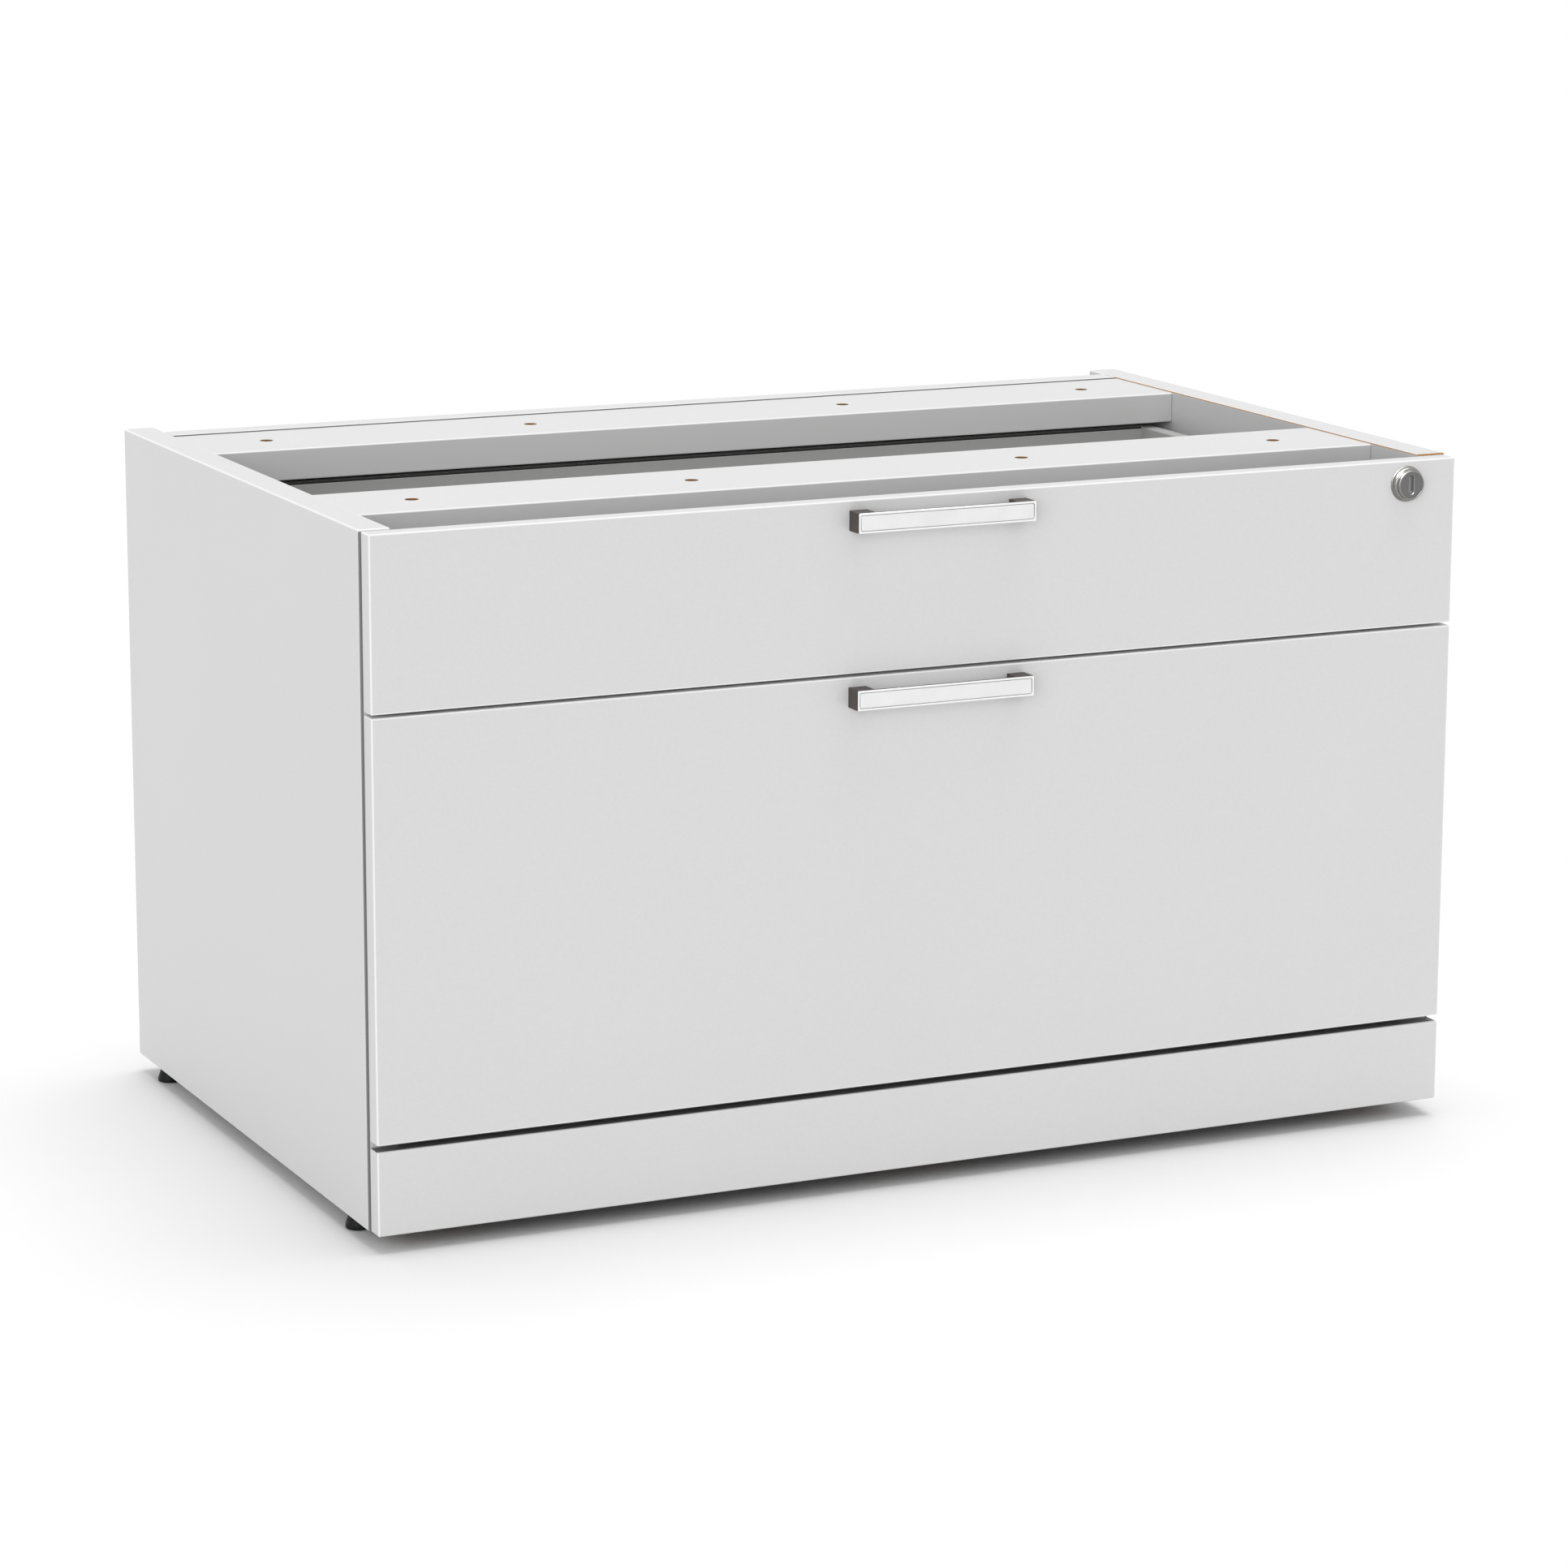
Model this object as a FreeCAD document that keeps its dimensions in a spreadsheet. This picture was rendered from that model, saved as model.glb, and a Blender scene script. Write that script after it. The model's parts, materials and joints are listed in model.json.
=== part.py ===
import FreeCAD, Part
import math
import os
from types import SimpleNamespace

import Sketcher

# A low cabinet with a box drawer above a file drawer, made to carry a worktop on its two drilled rails.
# The fronts face -Y, +X is to the right as seen from the front, and the floor is at Z = 0.
# The origin lies on the floor, in the middle of the box around the whole cabinet, handles included.

doc = FreeCAD.newDocument("DrawerCabinet")
sheet = doc.addObject("Spreadsheet::Sheet", "Sizes")

# Driving dimensions in millimetres
SIZES = (
    # Case
    ("cabinet_width", 914.4, "outside width over the side panels"),
    ("side_thickness", 25, "thickness of a side panel"),
    ("edge_round", 1.2, "radius of the rounded panel edges"),
    ("rail_depth", 100, "front to back size of a top rail"),
    ("rail_thickness", 25, "thickness of a top rail"),
    ("rail_drop", 1, "top of the rails below the top of the sides"),
    ("front_rail_setback", 69.5, "front edge of the sides to the front rail"),
    ("worktop_hole_radius", 5.25, "radius of the worktop holes in the rails"),
    ("worktop_hole_end", 62, "end of a rail to its outer hole"),
    ("worktop_hole_middle", 142, "centre line of the cabinet to the inner holes"),
    ("back_thickness", 22, "thickness of the back panel"),
    ("back_recess", 27, "back panel in from the rear edges of the sides"),
    ("back_gap", 1, "shadow gap between the rear rail and the back panel"),
    ("deck_thickness", 19, "thickness of the bottom panel"),
    ("rear_space", 80, "room behind the drawer boxes"),
    ("block_width", 40, "width of a plinth block"),
    ("block_depth", 20, "front to back size of a plinth block"),
    ("block_height", 30, "height of a plinth block"),
    ("dowel_radius", 4, "radius of a case dowel"),
    ("dowel_in_side", 12, "dowel length inside a side panel"),
    ("dowel_in_panel", 18, "dowel length inside the panel that meets the side"),
    ("dowel_fit", 0.05, "radial clearance round a dowel or a screw"),
    # Fronts
    ("front_thickness", 16, "thickness of the drawer fronts and the plinth"),
    ("front_gap", 2, "room between the fronts and the front edges of the sides"),
    ("front_inset", 1.6, "ends of the fronts in from the outside of the cabinet"),
    ("front_drop", 1, "top of the upper front below the top of the sides"),
    ("upper_front_height", 132, "height of the upper drawer front"),
    ("drawer_gap", 2.5, "gap between the drawer fronts"),
    ("lower_front_height", 320, "height of the lower drawer front"),
    ("plinth_gap", 5, "gap between the lower front and the plinth"),
    ("plinth_height", 64.5, "height of the plinth panel"),
    ("bumper_radius", 4, "radius of a drawer bumper"),
    ("bumper_play", 0.2, "room between a bumper and the side it closes on"),
    ("bumper_inset", 20, "bumper from the upper or lower edge of its front"),
    # Drawer boxes
    ("box_wall", 12.5, "thickness of the box sides, fronts and backs"),
    ("box_tail", 18, "box length beyond the slide length"),
    ("box_clearance", 4, "top rails to the upper box"),
    ("box_rise", 13, "lower edge of a front to the lower edge of its box"),
    ("lower_box_drop", 29, "top of the lower front to the top of its box"),
    ("bottom_thickness", 6, "thickness of a drawer bottom"),
    ("bottom_rise", 8, "lower edge of a box to the groove for its bottom"),
    ("groove_depth", 6, "depth of the groove for the bottom"),
    ("groove_fit", 0.2, "play of the bottom in its groove"),
    ("file_rail_wall", 2, "wall of a hanging-file rail"),
    ("file_rail_fin", 9, "height of the fin that carries the folders"),
    ("file_rail_leg", 12, "height of the leg screwed to the box"),
    # Telescopic slides
    ("slide_length", 400, "length of a closed slide and its travel"),
    ("slide_width", 12.7, "room for a slide between side panel and drawer box"),
    ("slide_height", 45, "height of the outer member"),
    ("slide_setback", 2, "front edge of the sides to the slides"),
    ("slide_wall", 1.2, "sheet thickness of the slide members"),
    ("slide_reach", 9, "flange width of the outer member"),
    ("slide_lip", 2.4, "height of the lips that keep the balls in"),
    ("lip_gap", 0.5, "lips of the middle member to the web of the inner member"),
    ("lower_slide_rise", 110, "lower edge of the lower box to its slides"),
    ("ball_radius", 1.5, "radius of a slide ball"),
    ("ball_play", 0.1, "room between a ball and its track"),
    ("cage_wall", 0.4, "sheet thickness of a ball cage"),
    ("cage_gap", 0.2, "ball cage to the web beside it"),
    ("cage_reach", 6, "flange width of a ball cage"),
    ("cage_hole_play", 0.15, "room between a ball and its hole in the cage"),
    # Screws
    ("screw_radius", 1.9, "shank radius of the assembly screws"),
    ("screw_head_radius", 3.8, "head radius of the assembly screws"),
    ("screw_head_height", 2.4, "height of a pan head"),
    ("case_screw_length", 14, "slide screw length inside a side panel"),
    ("box_screw_length", 10, "slide screw length inside a box side"),
    ("front_screw_grip", 9, "screw length inside a drawer front"),
    ("handle_screw_grip", 8, "screw length inside a handle post"),
    # Handles
    ("handle_length", 148.6, "length of a handle"),
    ("handle_height", 15.3, "height of a handle"),
    ("handle_projection", 17, "handle out from the face of its drawer front"),
    ("handle_drop", 7.5, "top of a drawer front to the top of its handle"),
    ("handle_post_width", 14.6, "width of a handle post"),
    ("handle_plate", 2.6, "thickness of the handle frame"),
    ("handle_rim", 2.2, "width of the rim round the handle insert"),
    ("handle_recess", 1.4, "depth of the recess for the insert"),
    ("handle_groove", 0.5, "groove between the rim and the insert"),
    ("handle_round", 0.4, "radius of the handle's rounded edges"),
    # Lock
    ("lock_side_gap", 20.9, "axis of the lock to the right side panel"),
    ("lock_clearance", 0.7, "lock case to the top of the drawer box"),
    ("lock_end_gap", 3.9, "bolt end of the lock case to the right side panel"),
    ("lock_rim_step", 0.9, "width of the thin outer rim beyond the shoulder"),
    ("lock_rim_thickness", 0.9, "thickness of the thin outer rim"),
    ("lock_shoulder_step", 1.7, "width of the rounded shoulder beyond the collar"),
    ("lock_shoulder_height", 3.4, "top of the shoulder out from the face of the drawer front"),
    ("lock_collar_wall", 1.35, "wall of the collar round the plug's cap"),
    ("lock_projection", 8.2, "collar out from the face of the drawer front"),
    ("barrel_wall", 1.95, "wall of the barrel through the drawer front"),
    ("barrel_tail", 6.8, "barrel beyond the back of the drawer front"),
    ("plug_cap_radius", 10.2, "radius of the plug's face"),
    ("plug_cap_depth", 4, "thickness of the plug's cap"),
    ("plug_radius", 6, "radius of the plug inside the barrel"),
    ("plug_play", 0.05, "running clearance of the plug"),
    ("plug_sink", 0.3, "plug face below the rim of the collar"),
    ("key_slot_width", 4, "width of the keyway"),
    ("key_slot_length", 14.6, "length of the keyway"),
    ("key_slot_depth", 3, "depth of the keyway"),
    ("key_slot_round", 1.2, "rounding of the keyway's edge"),
    ("crank_thickness", 1.5, "thickness of the crank disc"),
    ("crank_rim", 0.8, "crank disc beyond its pin"),
    ("crank_pin_radius", 1.2, "radius of the crank pin"),
    ("crank_square", 6, "side of the square end that drives the crank"),
    ("bolt_thickness", 3, "thickness of the lock bolt"),
    ("bolt_height", 9, "height of the lock bolt"),
    ("bolt_tail", 18, "lock axis to the inner end of the bolt"),
    ("bolt_lug_width", 8.6, "width of the forked lug on the bolt"),
    ("lock_play", 0.4, "sliding clearance inside the lock"),
    ("lock_case_left", 24, "lock axis to the inner end of the case"),
    ("lock_case_wall", 1.2, "wall of the lock case"),
    ("lock_ear", 10, "width of the screw ear on the lock case"),
    ("keeper_thickness", 1.2, "thickness of the keeper plate"),
    ("keeper_border", 3, "keeper plate beside its slot, front to back"),
    ("keeper_end", 9, "keeper plate above and below its slot"),
    ("mortise_depth", 8, "depth of the bolt hole in the side panel"),
    # Levelling glides
    ("glide_height", 14, "floor to the underside of the sides"),
    ("glide_base_radius", 9.8, "radius of a glide's foot"),
    ("glide_rim", 3, "height of the foot's rim"),
    ("glide_neck_radius", 6.4, "radius of a glide under the side panel"),
    ("glide_round", 1.2, "rounding of the foot's lower edge"),
    ("glide_gap", 0.3, "top of the foot to the side panel"),
    ("glide_stem_radius", 4, "radius of the stem"),
    ("glide_stem_length", 28, "stem inside the side panel"),
    ("glide_play", 0.08, "running clearance of the stem in its insert"),
    ("glide_bore_spare", 4, "bore beyond the end of the stem"),
    ("insert_radius", 6, "outer radius of a threaded insert"),
    ("insert_length", 14, "length of a threaded insert"),
    ("glide_front_setback", 55, "front edge of a side to its front glide"),
    ("glide_rear_setback", 42, "rear edge of a side to its rear glide"),
)

# Lengths that differ by less count as equal when edges are chosen
MEASURING_TOLERANCE = 1e-4

# Shares of the length, depth or height that a row of pieces follows
rail_dowel_shares = (0.25, 0.75)
deck_dowel_shares = (0.2, 0.8)
back_dowel_shares = (0.2, 0.8)
slide_screw_shares = (0.08, 0.85)
front_screw_width_shares = (-0.42, 0.42)
front_screw_height_shares = (0.3, 0.75)
ear_screw_height_shares = (-0.55, 0.55)
cage_start_share = 0.25
cage_length_share = 0.5
ball_row_shares = (0.1, 0.3, 0.5, 0.7, 0.9)
ball_across_share = 0.6
crank_rest_share = math.sqrt(0.5)
lip_round_share = 0.6
shoulder_round_share = 0.62
root_round_share = 0.3


class Size:
    """A length with its sheet expression, so that sums of sizes stay bound to the sheet."""

    def __init__(self, text, value):
        self.text = text
        self.value = value

    def __add__(self, other):
        other = as_size(other)
        return Size(f"({self.text} + {other.text})", self.value + other.value)

    def __sub__(self, other):
        other = as_size(other)
        return Size(f"({self.text} - {other.text})", self.value - other.value)

    def __mul__(self, factor):
        return Size(f"({self.text} * {factor})", self.value * factor)

    def __truediv__(self, count):
        return Size(f"({self.text} / {count})", self.value / count)

    def __neg__(self):
        return Size(f"(0 - {self.text})", -self.value)


def as_size(length):
    """Zero may stand for a length of nothing; every other length is a Size."""
    return length if isinstance(length, Size) else Size(str(length), float(length))


for row, (alias, number, meaning) in enumerate(SIZES, start=1):
    sheet.set(f"A{row}", meaning)
    sheet.set(f"B{row}", str(number))
    sheet.setAlias(f"B{row}", alias)
doc.recompute()
d = SimpleNamespace(**{alias: Size(f"Sizes.{alias}", float(number)) for alias, number, meaning in SIZES})

# Axes of a sketch on each origin plane: its two directions, the direction across it and which way that points
PLANES = {"XY_Plane": ("x", "y", "z", 1), "XZ_Plane": ("x", "z", "y", -1), "YZ_Plane": ("y", "z", "x", 1)}

# The sub-parts, in the order in which they are made
nodes = []


def place(item, at):
    """Ties the place of an object to the sheet."""
    for axis, size in at.items():
        item.setExpression(f"Placement.Base.{axis}", size.text)


class Piece:
    """One sub-part at its own place. Outlines and levels are given in the cabinet's coordinates."""

    cuts = []

    def __init__(self, label, x=0, y=0, z=0, node=True):
        self.body = doc.addObject("PartDesign::Body", label)
        self.body.Label = label
        self.at = {"x": as_size(x), "y": as_size(y), "z": as_size(z)}
        place(self.body, self.at)
        if node:
            nodes.append(self.body)

    def sketch(self, plane, level):
        """An empty sketch across the given plane's third direction, at the given level."""
        across, sign = PLANES[plane][2:]
        sketch = self.body.newObject("Sketcher::SketchObject", f"{self.body.Name}_sketch")
        support = next(item for item in self.body.Origin.OriginFeatures if item.Role == plane)
        sketch.AttachmentSupport = [(support, "")]
        sketch.MapMode = "FlatFace"
        sketch.setExpression("AttachmentOffset.Base.z", ((as_size(level) - self.at[across]) * sign).text)
        return sketch

    def local(self, plane, point):
        """A point of the cabinet in the piece's own sketch coordinates."""
        return [as_size(length) - self.at[axis] for length, axis in zip(point, PLANES[plane])]

    def spot(self, plane, point):
        """The same point as a vector."""
        across, up = self.local(plane, point)
        return FreeCAD.Vector(across.value, up.value, 0)

    def pin_point(self, sketch, plane, geometry, end, point):
        """Ties one point of a sketch to its place."""
        for kind, size in zip(("DistanceX", "DistanceY"), self.local(plane, point)):
            number = sketch.addConstraint(Sketcher.Constraint(kind, -1, 1, geometry, end, size.value))
            sketch.setExpression(f"Constraints[{number}]", size.text)

    def draw_outlines(self, plane, level, outlines):
        """A sketch of closed outlines with straight sides, every corner tied to its place."""
        sketch = self.sketch(plane, level)
        for corners in outlines:
            spots = [self.spot(plane, corner) for corner in corners]
            start = sketch.GeometryCount
            for spot, following in zip(spots, spots[1:] + spots[:1]):
                sketch.addGeometry(Part.LineSegment(spot, following))
            for number, corner in enumerate(corners):
                before = start + (number - 1) % len(corners)
                sketch.addConstraint(Sketcher.Constraint("Coincident", before, 2, start + number, 1))
                self.pin_point(sketch, plane, start + number, 1, corner)
        return sketch

    def draw_circles(self, plane, level, centres, radius):
        """A sketch of equal circles, every centre tied to its place."""
        sketch = self.sketch(plane, level)
        for centre in centres:
            circle = Part.Circle(self.spot(plane, centre), FreeCAD.Vector(0, 0, 1), radius.value)
            number = sketch.addGeometry(circle)
            self.pin_point(sketch, plane, number, 3, centre)
            constraint = sketch.addConstraint(Sketcher.Constraint("Radius", number, radius.value))
            sketch.setExpression(f"Constraints[{constraint}]", radius.text)
        return sketch

    def raise_sketch(self, sketch, plane, length, along):
        """Pads a sketch in the positive or negative direction across its plane."""
        feature = self.body.newObject("PartDesign::Pad", f"{self.body.Name}_pad")
        feature.Profile = sketch
        feature.setExpression("Length", length.text)
        feature.Reversed = along != PLANES[plane][3]

    def cut_sketch(self, sketch, plane, depth, along):
        """Cuts a sketch into the piece in the positive or negative direction across its plane."""
        feature = self.body.newObject("PartDesign::Pocket", f"{self.body.Name}_pocket")
        feature.Profile = sketch
        feature.setExpression("Length", depth.text)
        feature.Reversed = along == PLANES[plane][3]
        Piece.cuts.append(feature)

    def prism(self, plane, outlines, level, length, along=1):
        self.raise_sketch(self.draw_outlines(plane, level, outlines), plane, length, along)

    def recess(self, plane, outlines, level, depth, along):
        self.cut_sketch(self.draw_outlines(plane, level, outlines), plane, depth, along)

    def pins(self, plane, centres, radius, level, length, along=1):
        self.raise_sketch(self.draw_circles(plane, level, centres, radius), plane, length, along)

    def bore(self, plane, centres, radius, level, depth, along):
        self.cut_sketch(self.draw_circles(plane, level, centres, radius), plane, depth, along)

    def turn(self, plane, profile):
        """Turns a profile of (radius, height) about the line through the piece's place."""
        first, second, across, sign = PLANES[plane]
        corners = [(self.at[first] + radius, length) for radius, length in profile]
        sketch = self.draw_outlines(plane, self.at[across], [corners])
        feature = self.body.newObject("PartDesign::Revolution", f"{self.body.Name}_turn")
        feature.Profile = sketch
        feature.ReferenceAxis = (sketch, ["V_Axis"])

    def round(self, radius, chosen=lambda box: True):
        """Rounds the edges that are chosen by the box around each of them."""
        doc.recompute()
        base = self.body.Tip
        origin = FreeCAD.Vector(*(size.value for size in self.at.values()))
        names = []
        for number, edge in enumerate(base.Shape.Edges, start=1):
            box = edge.BoundBox
            box.move(origin)
            if chosen(box):
                names.append(f"Edge{number}")
        feature = self.body.newObject("PartDesign::Fillet", f"{self.body.Name}_round")
        feature.Base = (base, names)
        feature.setExpression("Radius", radius.text)


def rectangle(low_first, low_second, high_first, high_second):
    """Corners of a rectangle in a sketch."""
    lower = [(low_first, low_second), (high_first, low_second)]
    return lower + [(high_first, high_second), (low_first, high_second)]


def board(label, low, high):
    """A flat board between two corners of the cabinet's space."""
    piece = Piece(label, *low)
    piece.prism("XY_Plane", [rectangle(low[0], low[1], high[0], high[1])], low[2], high[2] - low[2])
    return piece


def near(length, size):
    """Whether a measured length equals a size."""
    return abs(length - size.value) < MEASURING_TOLERANCE


def runs_along(axis):
    """Chooses the straight edges that run along one axis."""
    return lambda box: box.DiagonalLength - getattr(box, f"{axis}Length") < MEASURING_TOLERANCE


def across_y(y, fits):
    """Chooses the edges that lie flat at one depth and whose width is right."""
    return lambda box: near(box.YMin, y) and near(box.YMax, y) and fits(box.XLength)


# Places worked out from the sizes
half_width = d.cabinet_width / 2
inner_x = half_width - d.side_thickness
box_x = inner_x - d.slide_width
box_inner_x = box_x - d.box_wall
front_x = half_width - d.front_inset
side_middle_x = half_width - d.side_thickness / 2

box_length = d.slide_length + d.box_tail
case_depth = d.front_thickness + box_length + d.rear_space + d.back_thickness + d.back_recess
rear_y = (case_depth + d.handle_projection) / 2
front_y = rear_y - case_depth
front_back_y = front_y + d.front_thickness
side_front_y = front_back_y + d.front_gap
back_rear_y = rear_y - d.back_recess
back_y = back_rear_y - d.back_thickness
front_rail_y = side_front_y + d.front_rail_setback
rear_rail_y = back_y - d.back_gap - d.rail_depth
slide_y = side_front_y + d.slide_setback
box_rear_y = front_back_y + box_length
box_back_y = box_rear_y - d.box_wall
subfront_y = front_back_y + d.box_wall

side_z = d.glide_height
plinth_top_z = side_z + d.plinth_height
deck_z = plinth_top_z - d.deck_thickness
lower_front_z = plinth_top_z + d.plinth_gap
lower_front_top_z = lower_front_z + d.lower_front_height
upper_front_z = lower_front_top_z + d.drawer_gap
upper_front_top_z = upper_front_z + d.upper_front_height
side_top_z = upper_front_top_z + d.front_drop
rail_top_z = side_top_z - d.rail_drop
rail_z = rail_top_z - d.rail_thickness
upper_box_z = upper_front_z + d.box_rise
upper_box_top_z = rail_z - d.box_clearance
lower_box_z = lower_front_z + d.box_rise
lower_box_top_z = lower_front_top_z - d.lower_box_drop
upper_slide_z = (upper_box_z + upper_box_top_z) / 2
lower_slide_z = lower_box_z + d.lower_slide_rise

barrel_radius = d.plug_radius + d.plug_play + d.barrel_wall
collar_radius = d.plug_cap_radius + d.plug_play + d.lock_collar_wall
shoulder_radius = collar_radius + d.lock_shoulder_step
rim_radius = shoulder_radius + d.lock_rim_step
crank_throw = barrel_radius - d.crank_pin_radius - d.crank_rim
lock_case_inside = barrel_radius + d.lock_play * 2
lock_case_half = lock_case_inside + d.lock_case_wall
lock_x = inner_x - d.lock_side_gap
lock_case_x = inner_x - d.lock_end_gap
lock_z = upper_box_top_z + d.lock_clearance + lock_case_half
barrel_end_y = front_back_y + d.barrel_tail
crank_y = barrel_end_y + d.lock_play
bolt_y = crank_y + d.crank_thickness + d.lock_play
bolt_rear_y = bolt_y + d.bolt_thickness
lock_case_inner_y = bolt_rear_y + d.lock_play
pin_end_y = bolt_rear_y + d.lock_play / 2
crank_pin_offset = crank_throw * crank_rest_share

screw_bore = d.screw_radius + d.dowel_fit
head_bore = d.screw_head_radius + d.dowel_fit
dowel_bore = d.dowel_radius + d.dowel_fit

slide_screw_ys = [slide_y + d.slide_length * share for share in slide_screw_shares]
slide_screws = [(y, z) for z in (upper_slide_z, lower_slide_z) for y in slide_screw_ys]
glide_ys = {"front": side_front_y + d.glide_front_setback, "rear": rear_y - d.glide_rear_setback}
rail_dowels = {
    rail: [(y + d.rail_depth * share, rail_z + d.rail_thickness / 2) for share in rail_dowel_shares]
    for rail, y in (("front_top_rail", front_rail_y), ("rear_top_rail", rear_rail_y))
}
deck_depth = back_y - front_back_y
deck_dowels = [
    (front_back_y + deck_depth * share, deck_z + d.deck_thickness / 2) for share in deck_dowel_shares
]
back_dowels = [
    (back_y + d.back_thickness / 2, side_z + (side_top_z - side_z) * share) for share in back_dowel_shares
]
case_dowels = [*rail_dowels["front_top_rail"], *rail_dowels["rear_top_rail"], *deck_dowels, *back_dowels]
keeper_slot = (
    bolt_y - d.lock_play,
    lock_z - d.bolt_height / 2 - d.lock_play,
    bolt_rear_y + d.lock_play,
    lock_z + d.bolt_height / 2 + d.lock_play,
)
keeper_plate = (
    keeper_slot[0] - d.keeper_border,
    keeper_slot[1] - d.keeper_end,
    keeper_slot[2] + d.keeper_border,
    keeper_slot[3] + d.keeper_end,
)


def side_panel(label, hand):
    """A side panel with its inner face at hand times inner_x, bored for dowels, slide screws and glides."""
    low_x = inner_x if hand > 0 else -half_width
    high_x = half_width if hand > 0 else -inner_x
    panel = board(label, (low_x, side_front_y, side_z), (high_x, rear_y, side_top_z))
    panel.round(d.edge_round)
    face_x = inner_x * hand
    panel.bore("YZ_Plane", case_dowels, dowel_bore, face_x, d.dowel_in_side, hand)
    panel.bore("YZ_Plane", slide_screws, screw_bore, face_x, d.case_screw_length, hand)
    glides = [(side_middle_x * hand, y) for y in glide_ys.values()]
    panel.bore("XY_Plane", glides, d.insert_radius + d.dowel_fit, side_z, d.insert_length, 1)
    stem_bore = d.glide_stem_radius + d.glide_play
    panel.bore("XY_Plane", glides, stem_bore, side_z, d.glide_stem_length + d.glide_bore_spare, 1)
    return panel


def top_rail(label, low_y):
    """A top rail between the sides, with four worktop holes along its middle."""
    rail = board(label, (-inner_x, low_y, rail_z), (inner_x, low_y + d.rail_depth, rail_top_z))
    rail.round(d.edge_round)
    outer = inner_x - d.worktop_hole_end
    places = (-outer, -d.worktop_hole_middle, d.worktop_hole_middle, outer)
    holes = [(x, low_y + d.rail_depth / 2) for x in places]
    rail.bore("XY_Plane", holes, d.worktop_hole_radius, rail_top_z, d.rail_thickness, -1)
    bore_ends(rail, rail_dowels[label])


def bore_ends(panel, dowels):
    """Dowel bores in both ends of a panel that stands between the sides."""
    panel.bore("YZ_Plane", dowels, dowel_bore, -inner_x, d.dowel_in_panel, 1)
    panel.bore("YZ_Plane", dowels, dowel_bore, inner_x, d.dowel_in_panel, -1)


def case():
    """The panels that don't move, and what joins them."""
    side_panel("left_side_panel", -1)
    right = side_panel("right_side_panel", 1)
    right.recess("YZ_Plane", [rectangle(*keeper_plate)], inner_x, d.keeper_thickness, 1)
    right.recess("YZ_Plane", [rectangle(*keeper_slot)], inner_x, d.mortise_depth, 1)
    keeper = Piece("lock_keeper", inner_x, keeper_plate[0], keeper_plate[1])
    keeper.prism("YZ_Plane", [rectangle(*keeper_plate), rectangle(*keeper_slot)], inner_x, d.keeper_thickness)

    top_rail("front_top_rail", front_rail_y)
    top_rail("rear_top_rail", rear_rail_y)
    back = board("back_panel", (-inner_x, back_y, side_z), (inner_x, back_rear_y, side_top_z))
    back.round(d.edge_round)
    bore_ends(back, back_dowels)
    deck = board("bottom_panel", (-inner_x, front_back_y, deck_z), (inner_x, back_y, plinth_top_z))
    bore_ends(deck, deck_dowels)
    plinth = board("plinth_panel", (-front_x, front_y, side_z), (front_x, front_back_y, plinth_top_z))
    plinth.round(d.edge_round)

    blocks = Piece("plinth_blocks", 0, front_back_y, deck_z - d.block_height)
    lefts = (-inner_x, -d.block_width / 2, inner_x - d.block_width)
    shapes = [rectangle(x, front_back_y, x + d.block_width, front_back_y + d.block_depth) for x in lefts]
    blocks.prism("XY_Plane", shapes, deck_z - d.block_height, d.block_height)

    dowels = Piece("case_dowels")
    for hand in (-1, 1):
        start = (inner_x - d.dowel_in_panel) * hand
        dowels.pins("YZ_Plane", case_dowels, d.dowel_radius, start, d.dowel_in_panel + d.dowel_in_side, hand)

    inserts = Piece("glide_inserts", 0, 0, side_z)
    places = [(side_middle_x * hand, y) for hand in (-1, 1) for y in glide_ys.values()]
    inserts.pins("XY_Plane", places, d.insert_radius, side_z, d.insert_length)
    inserts.bore("XY_Plane", places, d.glide_stem_radius + d.glide_play, side_z, d.insert_length, 1)

    screws = Piece("slide_case_screws")
    for hand in (-1, 1):
        screws.pins("YZ_Plane", slide_screws, d.screw_head_radius, inner_x * hand, d.slide_wall, -hand)
        screws.pins("YZ_Plane", slide_screws, d.screw_radius, inner_x * hand, d.case_screw_length, hand)


def glide(label, x, y):
    """A levelling glide: a flared foot moulded round a stem that turns in its insert."""
    top = d.glide_height - d.glide_gap
    stem_top = d.glide_height + d.glide_stem_length
    piece = Piece(label, x, y, 0)
    piece.turn("XZ_Plane", [
        (0, 0),
        (d.glide_base_radius, 0),
        (d.glide_base_radius, d.glide_rim),
        (d.glide_neck_radius, top),
        (d.glide_stem_radius, top),
        (d.glide_stem_radius, stem_top),
        (0, stem_top),
    ])
    rim = d.glide_base_radius * 2
    piece.round(d.glide_round, lambda around: near(around.ZMax, as_size(0)) and near(around.XLength, rim))


def channel(start, reach, half_height, wall, lip):
    """Half outline of a rolled channel: its web begins at start, its flanges reach away and end in lips."""
    outer_wall = wall if reach.value > 0 else -wall
    end = start + reach
    corners = [(start, half_height), (end, half_height)]
    if lip:
        corners += [
            (end, half_height - lip),
            (end - outer_wall, half_height - lip),
            (end - outer_wall, half_height - wall),
        ]
    else:
        corners.append((end, half_height - wall))
    return corners + [(start + outer_wall, half_height - wall)]


def both_slides(half, middle_z):
    """The whole outline on both sides of a drawer, with distances across counted from the side panels."""
    upper = [(x, middle_z + z) for x, z in half]
    lower = [(x, middle_z - z) for x, z in reversed(half)]
    return [[((inner_x - x) * hand, z) for x, z in upper + lower] for hand in (-1, 1)]


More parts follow.
